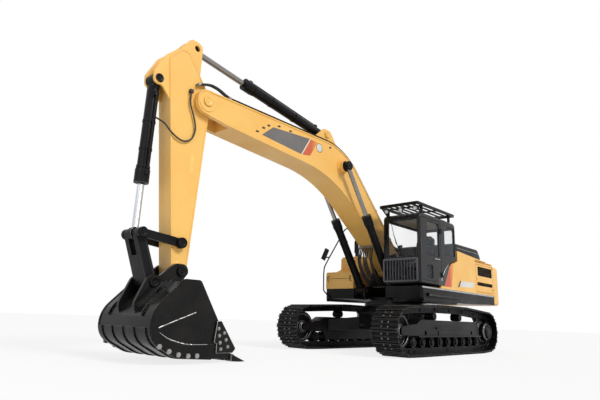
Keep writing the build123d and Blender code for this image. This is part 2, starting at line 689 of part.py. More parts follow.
PIPE_RADIUS, PIPE_LIFT = 15, 35      # lift from the boom's top plate to a pipe's middle
PIPE_XS = [200, 245, -225]
PIPE_CLAMPS = [(222, 95), (-225, 55)]     # x of a clamp's middle and its width


def boom_pipes():
    """Two oil pipes over the left edge of the boom's top and one over its right, on clamp blocks."""
    foot, bend, nose = (Vector(*BOOM_ROWS[i][:2]) for i in (5, 6, 0))     # the top plates' ends
    lower, upper = (bend - foot).normalized(), (nose - bend).normalized()
    lower_up, upper_up = Vector(lower.Y, -lower.X), Vector(upper.Y, -upper.X)
    corner = bend + (lower_up + upper_up) * (PIPE_LIFT / (1 + lower_up.dot(upper_up)))
    start = foot + lower * 530 + lower_up * PIPE_LIFT
    end = bend + upper * 3310 + upper_up * PIPE_LIFT
    pipes = Part()
    for x in PIPE_XS:
        points = [(x, point.X, point.Y) for point in (start, corner, end)]
        route = FilletPolyline(*points, radius=1585)
        pipes += sweep(Plane(origin=route @ 0, z_dir=route % 0) * Circle(PIPE_RADIUS), path=route)
    # where the clamps stand, as (plate's start, its heading, its facing, distances along it)
    stands = [(foot, lower, lower_up, (780, 1630)), (bend, upper, upper_up, (1250, 2250, 3150))]
    for begin, heading, facing, runs in stands:
        for run in runs:
            at = begin + heading * run
            top = Plane(origin=(0, at.X, at.Y), x_dir=(1, 0, 0), z_dir=(0, facing.X, facing.Y))
            for x, width in PIPE_CLAMPS:
                pipes += top * Pos(x, 0, 20) * Box(width, 60, 40)
    return pipes


# ---- arm ----
def arm():
    """A welded box that tapers to the bucket, with ears for both cylinders and round bosses at its pins."""
    side_view = outline([
        (-7015, 4745, 60), (-6715, 5065, 150), (-6225, 4380, 300), (-6165, 4000, 600),
        (-6358, 1175, 120), (-6600, 1175, 115),
    ])
    body = slab(side_view, -ARM_HALF, ARM_HALF)
    bosses = disc(BOOM_TIP, 215) + disc(ROCKER_PIN, 135) + disc(BUCKET_PIN, 165)
    web = offset(side_view, amount=-24) - bosses
    body -= slab(web, ARM_HALF - 8, ARM_HALF + 1) + slab(web, -ARM_HALF - 1, -ARM_HALF + 8)
    body += across(BOOM_TIP, 180, -FORK_HALF + GAP, FORK_HALF - GAP)
    body += across(BUCKET_PIN, 125, -ARM_HALF - 8, ARM_HALF + 8)
    body += across(ROCKER_PIN, 95, -ARM_HALF - 8, ARM_HALF + 8)
    rod_ears = outline([
        (-6930, 4820, 0), (-6600, 5270, 110), (-6360, 5250, 105), (-6370, 4700, 0),
    ]) - disc(ARM_CYLINDER_EYE, PIN)
    body += pair(rod_ears, 75, 115)
    foot_ears = outline([
        (-6850, 4960, 0), (-7060, 4760, 100), (-7250, 4400, 90),
        (-7240, 4200, 90), (-7080, 4200, 90), (-6900, 3980, 0),
    ]) - disc(BUCKET_CYLINDER_FOOT, PIN)
    body += pair(foot_ears, 110, 150)
    body -= across(BOOM_TIP, PIN + FIT, -500, 500)
    body -= across(BUCKET_PIN, PIN, -500, 500)
    body -= across(ROCKER_PIN, PIN, -500, 500)
    return body


def arm_pins():
    return Compound([
        across(BUCKET_PIN, PIN, -262, 262),
        across(ROCKER_PIN, PIN, -262, 262),
        across(BUCKET_CYLINDER_FOOT, PIN, -158, 158),
    ])


HOSE_RADIUS = 14
# the hose from the bucket cylinder's port down across the arm's left side and up to its clamp
ARM_HOSE = [
    (165, -7150, 3625), (190, -7010, 3585), (199, -6850, 3440), (199, -6650, 3365), (199, -6480, 3450),
    (199, -6420, 3650), (199, -6480, 3860), (199, -6580, 4060), (199, -6570, 4275),
]


def hose(points, radius):
    """A tube through points, each corner's arc as large as its two runs allow."""
    radii = []
    for before, corner, after in zip(points, points[1:], points[2:]):
        first, second = Vector(*corner) - Vector(*before), Vector(*after) - Vector(*corner)
        turn = radians(first.get_angle(second))
        radii.append(0.45 * min(first.length, second.length) / tan(turn / 2))
    print("hose bends, mm:", [round(r) for r in radii])
    path = FilletPolyline(*points, radius=radii)
    return sweep(Plane(origin=path @ 0, z_dir=path % 0) * Circle(radius), path=path)


def arm_hose():
    """The hose and the clamp block that ends it on the arm."""
    clamp = block(ARM_HALF - 8, 222, -6600, -6540, 4250, 4310)
    return hose(ARM_HOSE, HOSE_RADIUS) + clamp


# ---- hydraulic cylinders ----
# columns: foot, eye, x, foot eye half width, rod eye half width, barrel radius, rod radius, gland distance,
# rod's inner end, side that its oil pipe is on
BOOM_SIZES = (98, 48, 90, 50, 1927, 1120, (0, -1))
CYLINDERS = {
    "boom_left": (BOOM_CYLINDER_FOOT, BOOM_CYLINDER_EYE, BOOM_CYLINDER_X, *BOOM_SIZES),
    "boom_right": (BOOM_CYLINDER_FOOT, BOOM_CYLINDER_EYE, -BOOM_CYLINDER_X, *BOOM_SIZES),
    "arm": (ARM_CYLINDER_FOOT, ARM_CYLINDER_EYE, 0, 98, 65, 100, 55, 2370, 1330, (0, 1)),
    "bucket": (BUCKET_CYLINDER_FOOT, LINK_TOP, 0, 100, 60, 95, 52, 1710, 850, (1, 0)),
}
EYE_RADIUS = 100
PORT_AT = 260                  # from the foot pin to the lower port


def barrel(name):
    """Tube, end cap, gland with its collar, and an oil pipe between two port blocks along one side."""
    foot, eye, x, foot_half, _, radius, rod_radius, gland, _, (pipe_x, pipe_y) = CYLINDERS[name]
    plane = along(foot, eye, x)
    tube = plane * Pos(0, 0, (120 + gland - 60) / 2) * Cylinder(radius, gland - 60 - 120)
    collar = plane * Pos(0, 0, gland - 105) * Cylinder(radius + 18, 210)
    ring = plane * Pos(0, 0, gland - 250) * Cylinder(radius + 10, 40)
    body = tube + collar + ring + across(foot, EYE_RADIUS, x - foot_half, x + foot_half)
    body += plane * Pos(0, 0, 85) * Box(2 * foot_half, 110, 130)
    reach, port = radius + 34, gland - 150
    for z in (PORT_AT, port):
        body += plane * Pos(pipe_x * reach * 0.85, pipe_y * reach * 0.85, z) * Box(64, 64, 70)
    body += plane * Pos(pipe_x * reach, pipe_y * reach, (PORT_AT + port) / 2) * Cylinder(14, port - PORT_AT)
    for share in (0.35, 0.7):
        band = PORT_AT + share * (port - PORT_AT)
        body += plane * Pos(0, 0, band) * Cylinder(radius + 7, 34)
        body += plane * Pos(pipe_x * (radius + 14), pipe_y * (radius + 14), band) * Box(44, 44, 34)
    body -= plane * Pos(0, 0, (140 + gland + 1) / 2) * Cylinder(rod_radius + 1, gland + 1 - 140)
    return body - across(foot, PIN + FIT, x - 200, x + 200)


def rod(name):
    foot, eye, x, _, eye_half, _, radius, _, inner, _ = CYLINDERS[name]
    length = distance(foot, eye)
    plane = along(foot, eye, x)
    bar = plane * Pos(0, 0, (inner + length) / 2) * Cylinder(radius, length - inner)
    return bar + across(eye, EYE_RADIUS - 5, x - eye_half, x + eye_half)


# ---- bucket linkage ----
def link_bar(start, end, start_radius, end_radius):
    """A bar's side view between two round ends."""
    return make_hull([disc(start, start_radius).edge(), disc(end, end_radius).edge()])


def rockers():
    """Two side links: thick round ends joined by a thinner, narrower shank."""
    ends = disc(ROCKER_PIN, 85) + disc(LINK_TOP, 80)
    shank = link_bar(ROCKER_PIN, LINK_TOP, 66, 62) + ends
    bore = disc(ROCKER_PIN, PIN + FIT)
    plates = []
    for side in (1, -1):
        core = slab(shank - bore, *sorted((side * 188, side * 232)))
        caps = slab(ends - bore, *sorted((side * 185, side * 240)))
        plates.append(core + caps)
    return Compound(plates)


def power_link():
    """A forked link with a boss at its foot and a rib down the middle of its face."""
    face = link_bar(LINK_TOP, LINK_FOOT, 78, 85)
    body = slab(face, -170, 170)
    direction = atan2(LINK_FOOT[1] - LINK_TOP[1], LINK_FOOT[0] - LINK_TOP[0])
    throat_end = (LINK_TOP[0] + 220 * cos(direction), LINK_TOP[1] + 220 * sin(direction))
    body -= slab(link_bar(LINK_TOP, throat_end, 140, 120), -75, 75)
    pocket = offset(face, amount=-22) - disc(LINK_TOP, 90) - disc(LINK_FOOT, 98)
    for side in (1, -1):
        body -= slab(pocket, *sorted((side * 158, side * 171)))
    return body - across(LINK_FOOT, PIN + FIT, -300, 300)


# ---- bucket ----
def bucket_face():
    """The bucket's side view: lip, floor, heel, back and top."""
    return outline([
        (-5890, 55, 0), (-6790, 105, 400), (-7215, 330, 300), (-7215, 690, 420), (-6740, 1160, 100),
        (-6440, 1160, 20), (-6080, 600, 60), (-5890, 130, 0),
    ])


SEAM_HEIGHT = 490              # top of the heel's wear plate
WEAR_STRIPS = [-600, -300, 0, 300, 600]
HEEL_BUTTONS = [(-7060, 250), (-6905, 185), (-6752, 140), (-6590, 118), (-6440, 115)]
TEETH_XS = [-620, -310, 0, 310, 620]


def bucket_shell():
    """A shell closed by two sides, with ears, back ribs, wear plates and strips, and heel buttons."""
    face = bucket_face()
    inside = outline([
        (-5700, 85, 0), (-6785, 135, 370), (-7185, 347, 272), (-7185, 678, 390),
        (-6728, 1130, 70), (-6200, 1130, 0), (-5700, 600, 0),
    ])
    shell = slab(face, -BUCKET_HALF, BUCKET_HALF)
    below = polygon([(-7400, 0), (-7400, SEAM_HEIGHT), (-6600, SEAM_HEIGHT), (-6100, 300), (-6100, 0)])
    wear_plate = (offset(face, amount=8) - face) & below
    shell += slab(wear_plate, -BUCKET_HALF, BUCKET_HALF)
    strip = (offset(face, amount=24) - face) & below
    for x in WEAR_STRIPS:
        shell += slab(strip, x - 28, x + 28)
    back = polygon([(-7400, 640), (-7400, 1190), (-6700, 1190), (-7100, 640)])
    rib = (offset(face, amount=26) - face) & back
    for x in (-460, 460):
        shell += slab(rib, x - 10, x + 10)
    upper_back = polygon([(-7400, 100), (-7400, 1300), (-6460, 1300), (-6460, 1100), (-6900, 100)])
    rim = (offset(face, amount=10) - face) & upper_back
    shell += slab(rim, BUCKET_HALF - 30, BUCKET_HALF) + slab(rim, -BUCKET_HALF, -BUCKET_HALF + 30)
    # plates low on the sides, their upper edge a slack curve
    cheek = face & outline([
        (-7400, 480, 0), (-7090, 440, 0), (-6800, 265, 400), (-6120, 262, 0), (-6120, 0, 0), (-7400, 0, 0),
    ])
    for side in (1, -1):
        shell += slab(cheek, *sorted((side * BUCKET_HALF, side * (BUCKET_HALF + 10))))
        for point in HEEL_BUTTONS:
            shell += across(point, 34, *sorted((side * (BUCKET_HALF - 20), side * (BUCKET_HALF + 32))))
    shell -= slab(inside, -BUCKET_HALF + BUCKET_WALL, BUCKET_HALF - BUCKET_WALL)
    ear = outline([
        (-6475, 1145, 0), (-6362, 1290, 30), (-6362, 1425, 110), (-6598, 1425, 110), (-6850, 1220, 60),
        (-7030, 1220, 95), (-7225, 800, 200), (-7180, 640, 0), (-7078, 811, 0), (-6734, 1145, 0),
    ])
    ear -= disc(BUCKET_PIN, PIN + FIT) + disc(LINK_FOOT, PIN)
    shell += pair(ear, 190, 245)
    return shell


def bucket_teeth():
    """Five teeth on the lip: an adapter wrapped over it, and a tip that tapers in plan and in side view."""
    adapter_view = outline([
        (-6060, 102, 0), (-6020, 136, 0), (-5880, 160, 20), (-5700, 110, 0),
        (-5700, 22, 0), (-5890, 30, 0), (-5890, 94, 0),
    ])
    tip_view = polygon([(-5760, 122), (-5480, 8), (-5480, 0), (-5600, 0), (-5760, 12)])
    teeth = []
    for x in TEETH_XS:
        adapter_plan = polygon([
            (x - 45, -6065), (x + 45, -6065), (x + 55, -5850),
            (x + 50, -5690), (x - 50, -5690), (x - 55, -5850),
        ])
        tip_plan = polygon([(x - 64, -5762), (x + 64, -5762), (x + 50, -5479), (x - 50, -5479)])
        adapter = slab(adapter_view, x - 60, x + 60) & plate(adapter_plan, 0, 300)
        teeth.append(adapter + (slab(tip_view, x - 70, x + 70) & plate(tip_plan, 0, 300)))
    return Compound(teeth)


def side_cutters():
    """A plate on each side of the mouth, its front edge ground to a blade."""
    face = outline([
        (-6120, 600, 20), (-6040, 600, 20), (-5740, 200, 20), (-5800, 140, 0),
        (-6112, 140, 0), (-6112, 275, 0), (-6160, 290, 0),
    ])
    cutters = []
    for side in (1, -1):
        low, high = sorted((side * (BUCKET_HALF + 0.5), side * (BUCKET_HALF + 32)))
        cutters.append(slab(face, low, high))
    return Compound(cutters)


def bucket_pin():
    return across(LINK_FOOT, PIN, -262, 262)


# ---- build and write ----
parts = {
    "car_body": car_body(),
    "slewing_ring": slewing_ring(),
    "revolving_frame": revolving_frame(),
    "house_pins": house_pins(),
    "counterweight": counterweight(),
    "cab_shell": cab_shell(),
    "cab_door": cab_door(),
    "cab_glass": cab_glass(),
    "door_glass": door_glass(),
    "cab_guard": cab_guard(),
    "front_grille": front_grille(),
    "seat": seat(),
    "engine_house": engine_house(),
    "hood": hood(),
    "engine": engine(),
    "tanks": tanks(),
    "air_intake": air_intake(),
    "tool_box": tool_box(),
    "tool_box_lid": tool_box_lid(),
    "exhaust": exhaust(),
    "handrails": handrails(),
    "mirrors": mirrors(),
    "boom": boom(),
    "boom_pins": boom_pins(),
    "boom_pipes": boom_pipes(),
    "arm": arm(),
    "arm_pins": arm_pins(),
    "arm_hose": arm_hose(),
    "rockers": rockers(),
    "power_link": power_link(),
    "bucket_shell": bucket_shell(),
    "bucket_teeth": bucket_teeth(),
    "side_cutters": side_cutters(),
    "bucket_pin": bucket_pin(),
}
for side, word in ((1, "left"), (-1, "right")):
    parts[f"track_{word}"] = track(side)
    parts[f"track_frame_{word}"] = track_frame(side)
    parts[f"idler_{word}"] = idler(side)
    parts[f"sprocket_{word}"] = sprocket(side)
    parts[f"rollers_{word}"] = rollers(side)
    parts[f"side_door_{word}"] = side_door(side)
for name in CYLINDERS:
    parts[f"{name}_barrel"] = barrel(name)
    parts[f"{name}_rod"] = rod(name)

os.makedirs("parts", exist_ok=True)
for name, shape in parts.items():
    export_step(shape, f"parts/{name}.step")
print(len(parts), "nodes")
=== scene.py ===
# %% [markdown]
# # Dressing a crawler excavator
# The solids of the machine come packed from the drawing office: every plate, pin and pivot is already at its
# real place, in metres, with +Z up. The machine faces -Y and its cab stands on +X. This lesson gives those
# solids paint, wear, rounded edges, hoses and bolts. Loading comes first, because every later cell asks the
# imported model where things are.

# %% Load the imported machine
import json
from math import cos, pi, radians, sin

import bmesh
import bpy
import numpy as np
from mathutils import Matrix, Vector

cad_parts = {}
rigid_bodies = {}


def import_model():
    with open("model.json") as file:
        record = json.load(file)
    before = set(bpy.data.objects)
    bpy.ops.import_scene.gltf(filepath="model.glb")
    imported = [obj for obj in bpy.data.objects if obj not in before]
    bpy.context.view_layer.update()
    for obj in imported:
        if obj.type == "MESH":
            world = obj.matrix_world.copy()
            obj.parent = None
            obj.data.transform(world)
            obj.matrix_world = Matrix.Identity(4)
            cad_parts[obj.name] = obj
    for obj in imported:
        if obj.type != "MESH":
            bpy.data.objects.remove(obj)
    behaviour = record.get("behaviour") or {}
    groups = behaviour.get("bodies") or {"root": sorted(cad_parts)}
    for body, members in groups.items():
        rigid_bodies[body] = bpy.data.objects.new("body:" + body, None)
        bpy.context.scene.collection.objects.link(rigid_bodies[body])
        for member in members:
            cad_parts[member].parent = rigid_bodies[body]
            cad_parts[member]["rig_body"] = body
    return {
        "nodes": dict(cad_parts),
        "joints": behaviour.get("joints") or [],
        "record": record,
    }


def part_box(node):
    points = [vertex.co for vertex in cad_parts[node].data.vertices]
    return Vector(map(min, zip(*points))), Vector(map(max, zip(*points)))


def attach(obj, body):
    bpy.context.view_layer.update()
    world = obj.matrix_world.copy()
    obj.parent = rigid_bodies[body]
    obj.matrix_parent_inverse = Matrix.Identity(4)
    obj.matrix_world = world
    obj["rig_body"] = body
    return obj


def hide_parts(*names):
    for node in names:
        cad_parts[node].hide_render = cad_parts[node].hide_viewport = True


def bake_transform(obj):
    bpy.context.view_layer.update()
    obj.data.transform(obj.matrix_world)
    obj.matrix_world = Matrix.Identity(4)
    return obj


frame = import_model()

scene = bpy.context.scene
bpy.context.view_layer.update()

# %% [markdown]
# ## The camera
# A long machine is judged from low down and from its front corner, about knee height above the ground, where
# the boom stands against the sky. A camera could be aimed with a Track To constraint, but three angles are
# easier to reason about: yaw turns it round, pitch tips it up, and a small roll levels what the eye sees.

# %% Camera
EYE = Vector((6.64, -10.86, 0.67))
YAW, PITCH, ROLL = radians(42.44), radians(13.6), radians(1.98)
FOCAL = 29.48  # millimetres on the usual 36 mm wide sensor


def placed(name, data):
    """A new object in the scene, holding the given data."""
    made = bpy.data.objects.new(name, data)
    scene.collection.objects.link(made)
    return made


def camera_axes(yaw, pitch, roll):
    """Right and up of a level camera turned by yaw and pitch, then turned by roll about its line of sight."""
    ahead = Vector((-sin(yaw) * cos(pitch), cos(yaw) * cos(pitch), sin(pitch)))
    right = Vector((cos(yaw), sin(yaw), 0))
    up = right.cross(ahead)
    return right * cos(roll) + up * sin(roll), up * cos(roll) - right * sin(roll), -ahead


camera = placed("camera", bpy.data.cameras.new("camera"))
camera.data.lens = FOCAL
camera.data.clip_end = 200
camera.matrix_world = Matrix.Translation(EYE) @ Matrix(camera_axes(YAW, PITCH, ROLL)).transposed().to_4x4()
scene.camera = camera
scene.view_settings.view_transform = "Standard"
print("camera looks along", tuple(round(c, 3) for c in -camera.matrix_world.col[2].xyz))

# %% [markdown]
# ## A white studio
# The machine stands in an empty white room. White could be made by flooding the scene with light, but that
# also bleaches the paint. Here the world and the floor only look white to the camera and in reflections
# (Light Path tells which ray is asking), while a plain grey level of light falls on the machine. One function
# adds a node and joins its inputs, for these graphs and for every finish after them.


# %% World and floor
def set_all(thing, **values):
    for key, value in values.items():
        setattr(thing, key, value)


def fill(tree, node, inputs):
    """Sets a node's inputs to plain values, or joins them to other nodes' outputs."""
    for key, value in inputs.items():
        if isinstance(value, bpy.types.NodeSocket):
            tree.links.new(value, node.inputs[key])
        else:
            node.inputs[key].default_value = value


def add_node(tree, kind, inputs, output=0, **settings):
    """Adds a shader node of a kind, fills its inputs and gives one of its outputs."""
    made = tree.nodes.new("ShaderNode" + kind)
    set_all(made, **settings)
    fill(tree, made, inputs)
    return made.outputs[output]


def white_to_the_camera(tree, dark, white, surface, share=1.0):
    """Shows white, by its share, to camera, glossy and transmission rays, and dark to the rays that light."""
    path = tree.nodes.new("ShaderNodeLightPath").outputs
    seen = path["Is Camera Ray"]
    for other in ("Is Glossy Ray", "Is Transmission Ray"):
        seen = add_node(tree, "Math", {0: seen, 1: path[other]}, operation="MAXIMUM")
    seen = add_node(tree, "Math", {0: seen, 1: share}, operation="MULTIPLY")
    tree.links.new(add_node(tree, "MixShader", {0: seen, 1: dark, 2: white}), surface)


SKY_LEVEL = 0.36  # light that the world gives
FLOOR_GLOW = 0.8  # share of white in the floor's look
FLOOR = 90  # half width: past the horizon of a camera this low
world = bpy.data.worlds.new("studio")
scene.world = world
world.use_nodes = True
sky = world.node_tree
level = sky.nodes["Background"]
fill(sky, level, {"Color": (0.95, 0.97, 1.0, 1), "Strength": SKY_LEVEL})
white = add_node(sky, "Background", {"Color": (1, 1, 1, 1), "Strength": 1.0})
white_to_the_camera(sky, level.outputs[0], white, sky.nodes["World Output"].inputs["Surface"])

floor_paint = bpy.data.materials.new("studio_floor")
floor_paint.use_nodes = True
tree = floor_paint.node_tree
matt = tree.nodes["Principled BSDF"]
fill(tree, matt, {"Base Color": (0.86, 0.86, 0.86, 1), "Roughness": 0.9})
white_to_the_camera(tree, matt.outputs[0], add_node(tree, "Emission", {}),
                    tree.nodes["Material Output"].inputs["Surface"], FLOOR_GLOW)

floor_mesh = bpy.data.meshes.new("floor")
floor_corners = [(x * FLOOR, y * FLOOR, 0) for x, y in ((-1, -1), (1, -1), (1, 1), (-1, 1))]
floor_mesh.from_pydata(floor_corners, [], [(0, 1, 2, 3)])
floor_mesh.materials.append(floor_paint)
placed("floor", floor_mesh)

# %% [markdown]
# ## Two soft lamps
# A wide sun on the cab's side gives the bright yellow flanks and leaves the faces that look forward in shade,
# which is what shows the box shape of the boom. A sun lights all ten metres of the machine alike, where a
# near lamp would burn out the closest plate. A weak area lamp in front keeps the shaded faces readable.


# %% Lamps
def lamp(name, kind, energy, place, target=(0, 0, 0)):
    """A lamp at a place, turned towards its target."""
    made = placed(name, bpy.data.lights.new(name, kind))
    made.data.energy = energy
    made.location = place
    made.rotation_euler = (Vector(place) - Vector(target)).to_track_quat("Z", "Y").to_euler()
    return made.data


lamp("key", "SUN", 2.35, (13, 1, 10)).angle = radians(22)
lamp("fill", "AREA", 200, (3, -14, 3.5), (0, -3, 1.5)).size = 6

# %% [markdown]
# ## A small kit for finishes
# Paint on a machine is never one colour: it drifts a little from panel to panel, gathers dust low down, and
# its gloss changes where hands and rain have been. Each finish below is a node graph that reads Object
# coordinates, so the pattern is fixed to the metal.


# %% Finish kit
def rgb(red, green, blue):
    """A colour as it looks on a screen (0 to 255), turned into the linear values that light works with."""
    share = np.array([red, green, blue]) / 255
    linear = np.where(share <= 0.04045, share / 12.92, ((share + 0.055) / 1.055) ** 2.4)
    return (*linear.tolist(), 1)


class Finish:
    """A material under construction. Each method adds one node and gives its output."""

    def __init__(self, name, roughness=0.5, metallic=0.0, specular=0.5, coat=0.0):
        self.material = bpy.data.materials.new(name)
        self.material.use_nodes = True
        self.tree = self.material.node_tree
        self.shader = self.tree.nodes["Principled BSDF"]
        fill(self.tree, self.shader, {"Roughness": roughness, "Metallic": metallic,
                                      "Specular IOR Level": specular, "Coat Weight": coat})
        self.place = self.node("TexCoord", {}, output="Object")

    def node(self, kind, inputs, output=0, **settings):
        return add_node(self.tree, kind, inputs, output, **settings)

    def stretched(self, scale):
        return self.node("Mapping", {"Vector": self.place, "Scale": scale})

    def noise(self, scale, detail=4.0, rough=0.6, place=None):
        return self.node("TexNoise", {
            "Vector": place or self.place, "Scale": scale, "Detail": detail, "Roughness": rough,
        })

    def ramp(self, value, low, high, start=0.0, end=1.0):
        """value between low and high becomes start to end, held flat outside."""
        return self.node("MapRange", {
            "Value": value, "From Min": low, "From Max": high, "To Min": start, "To Max": end,
        })

    def maths(self, operation, a, b):
        return self.node("Math", {0: a, 1: b}, operation=operation)

    def mix(self, share, first, second):
        """first where share is 0, second where it is 1."""
        return self.node("Mix", {0: share, 6: first, 7: second}, output=2, data_type="RGBA")

    def along(self, axis):
        """How far a point lies along an axis: 0, 1 or 2 for x, y or z."""
        return self.node("SeparateXYZ", {0: self.place}, output=axis)

    def done(self, colour, roughness=None, height=None, strength=0.0):
        """Joins the colour, the roughness and a bump to the shader, and gives the finished material."""
        inputs = {"Base Color": colour}
        if roughness is not None:
            inputs["Roughness"] = roughness
        if height is not None:
            inputs["Normal"] = self.node("Bump", {"Height": height, "Strength": strength,
                                                            "Distance": BUMP_DEPTH})
        fill(self.tree, self.shader, inputs)
        return self.material


BUMP_DEPTH = 0.001

# %% [markdown]
# ## Paint
# The flanks are a warm construction yellow, the deck, hood and links are black, and the cab is dark grey. All
# three are the same recipe: a base colour that drifts with a broad noise, a film of pale dust that thickens
# towards the ground, fine scratches (a noise stretched along one axis, cut at a threshold) and a gloss that
# varies with its own noise. A function makes the recipe, so that each paint is only its numbers.


# %% Paints
DUST = rgb(150, 138, 120)
DUST_TOP = 1.6


def paint(name, colour, drift, gloss, dust=0.25, scratch=0.35, **shader):
    """Colour to drift by a broad noise, then scratches, then dust that fades out at DUST_TOP metres."""
    finish = Finish(name, roughness=gloss, **shader)
    broad = finish.ramp(finish.noise(1.3, 3), 0.35, 0.68)
    fine = finish.noise(38, 5, 0.7)
    worn = finish.mix(broad, colour, drift)
    hairs = finish.noise(1.0, 6, 0.75, finish.stretched((9, 2.2, 26)))
    scuffs = finish.ramp(hairs, 0.665, 0.72, 0.0, scratch)
    worn = finish.mix(scuffs, worn, tuple(min(1.0, 0.55 * c + 0.16) for c in colour[:3]) + (1,))
    low = finish.ramp(finish.along(2), 0.0, DUST_TOP, dust, 0.02)
    patch = finish.ramp(finish.noise(3.1, 5, 0.65), 0.38, 0.66)
    worn = finish.mix(finish.maths("MULTIPLY", low, patch), worn, DUST)
    shine = finish.ramp(broad, 0, 1, gloss - 0.06, gloss + 0.12)
    shine = finish.maths("ADD", shine, finish.ramp(fine, 0.4, 0.7, -0.03, 0.05))
    return finish.done(worn, shine, fine, 0.12)


# Each paint has a lighter twin for the rounded edge strips: partly rubbed wear, partly a painted highlight
# along every edge.
YELLOW = paint("yellow_paint", rgb(234, 184, 97), rgb(229, 174, 84), 0.38, dust=0.1, scratch=0.1)
YELLOW_WEAR_AND_HIGHLIGHT = paint("yellow_paint_edge", rgb(240, 196, 114), rgb(234, 186, 98), 0.4, dust=0.1, scratch=0.3)
BLACK = paint("black_paint", rgb(9, 9, 11), rgb(14, 14, 16), 0.32, dust=0.03, scratch=0.05, specular=0.12)
BLACK_WEAR_AND_HIGHLIGHT = paint("black_paint_edge", rgb(58, 58, 62), rgb(34, 34, 37), 0.3, dust=0.1, scratch=0.2)
GREY = paint("cab_grey", rgb(15, 15, 19), rgb(23, 23, 27), 0.3, dust=0.03, scratch=0.05, specular=0.2)
GREY_WEAR_AND_HIGHLIGHT = paint("cab_grey_edge", rgb(82, 82, 88), rgb(58, 58, 64), 0.3, dust=0.08, scratch=0.15)
BUCKET = paint("bucket_black", rgb(7, 7, 8), rgb(14, 14, 14), 0.24, dust=0.02, scratch=0.05, specular=0.16)
BUCKET_WEAR_AND_HIGHLIGHT = paint("bucket_black_edge", rgb(138, 137, 136), rgb(74, 73, 72), 0.3, dust=0.1, scratch=0.3)
print("paints:", [m.name for m in bpy.data.materials])

# %% [markdown]
# ## Bare metal, rubber and glass
# Track steel is cast and forged, dark with dried mud in its corners; its edge strips are light grey, partly
# polished where it touches the ground and partly a painted highlight.
# Chrome on a cylinder rod is polished round, with hair scratches along its travel. Hose rubber is a matt
# black with a cloth-like wrap. Glass is nearly clear from the front and mirrors at a slant. Layer Weight
# gives that slant alike on both faces of a pane, where a Fresnel node would darken the face that light leaves
# by.


# %% Metals, rubber, glass
def metal(name, colour, stain, gloss, stain_share=0.5, scale=6.0, metallic=0.85, bump=0.3, grain=(1, 1, 1),
          **shader):
    """Bare metal whose colour goes to stain in blotches; grain stretches the fine roughness."""
    finish = Finish(name, roughness=gloss, metallic=metallic, **shader)
    blotch = finish.ramp(finish.noise(scale, 6, 0.7), 0.42, 0.62, 0.0, stain_share)
    fine = finish.noise(120, 4, 0.6, finish.stretched(grain))
    shine = finish.ramp(blotch, 0, 1, gloss - 0.05, gloss + 0.3)
    shine = finish.maths("ADD", shine, finish.ramp(fine, 0.35, 0.7, -0.04, 0.05))
    return finish.done(finish.mix(blotch, colour, stain), shine, fine, bump)


def glass(name, tint, clear=0.03):
    """Mostly clear pane: its cover grows from clear, seen square on, to over half at a slant."""
    finish = Finish(name, roughness=0.04, specular=0.6)
    slant = finish.node("LayerWeight", {"Blend": 0.5}, output=1)
    smear = finish.ramp(finish.noise(2.2, 4), 0.45, 0.75, 0.0, 0.02)
    cover = finish.maths("ADD", finish.ramp(slant, 0.5, 1.0, clear, 0.6), smear)
    fill(finish.tree, finish.shader, {"Alpha": cover})
    return finish.done(finish.mix(smear, tint, DUST), finish.ramp(smear, 0, 0.05, 0.03, 0.12))


TRACK = metal("track_steel", rgb(10, 9, 11), rgb(26, 23, 21), 0.46, 0.5, 7, 0.0, 0.5, specular=0.1)
# light grey edge strips and shoe bolts: polished wear and a painted highlight on the grousers
TRACK_WEAR_AND_HIGHLIGHT = metal("track_steel_edge", rgb(158, 157, 156), rgb(58, 54, 50), 0.34, 0.5, 9, 0.7)
STEEL = metal("worn_steel", rgb(84, 82, 82), rgb(60, 54, 50), 0.42, 0.6, 10)
STEEL_EDGE = metal("worn_steel_edge", rgb(160, 158, 156), rgb(96, 90, 86), 0.35, 0.4, 12)
ROD = metal("oiled_rod", rgb(142, 138, 134), rgb(118, 112, 106), 0.16, 0.3, 3, 1.0, 0.08, (14, 14, 0.6))
CHROME = metal("chrome_rod", rgb(206, 208, 212), rgb(180, 182, 186), 0.13, 0.25, 3, 1.0, 0.08, (14, 14, 0.6))
PIN_STEEL = metal("pin_steel", rgb(120, 119, 120), rgb(80, 72, 64), 0.34, 0.5, 14)
RUBBER = metal("hose_rubber", rgb(24, 24, 26), rgb(44, 42, 40), 0.55, 0.4, 5, 0.0, 0.6, (1, 1, 3))
ENGINE = paint("engine_grey", rgb(96, 98, 100), rgb(78, 80, 82), gloss=0.5)
GLASS = glass("glass", rgb(120, 130, 136))
print("finishes:", len(bpy.data.materials))

# %% [markdown]
# ## Rounding the edges of the solids
# No real plate has a razor edge: it is rolled, ground or rubbed bare, and that thin bright line is what the
# eye reads as size. The imported solids are loose triangles, so each is copied, its doubles merged and its flat
# areas joined back into whole faces. A Bevel modifier then rounds every corner sharper than 30 degrees and
# gives the new strip its own lighter material: partly rubbed wear, partly a painted highlight along the edge.
# The copy rides on the same body and stands in for the solid.


# %% Dress a solid
def whole_faces(mesh):
    """Merges doubled corners, then joins neighbouring triangles that lie in one plane."""
    shape = bmesh.new()
    shape.from_mesh(mesh)
    bmesh.ops.remove_doubles(shape, verts=shape.verts, dist=2e-5)
    bmesh.ops.dissolve_limit(shape, angle_limit=radians(0.6), verts=shape.verts, edges=shape.edges)
    shape.to_mesh(mesh)
    shape.free()


def read(items, field):
    """A place from each vertex or face of a mesh, as one array of rows."""
    places = np.empty(len(items) * 3)
    items.foreach_get(field, places)
    return places.reshape(-1, 3)


def shaded(name, mesh, corner):
    """Places a mesh as an object, smooth but for bends sharper than corner."""
    mesh.polygons.foreach_set("use_smooth", np.ones(len(mesh.polygons), bool))
    mesh.set_sharp_from_angle(angle=corner)
    return placed(name, mesh)


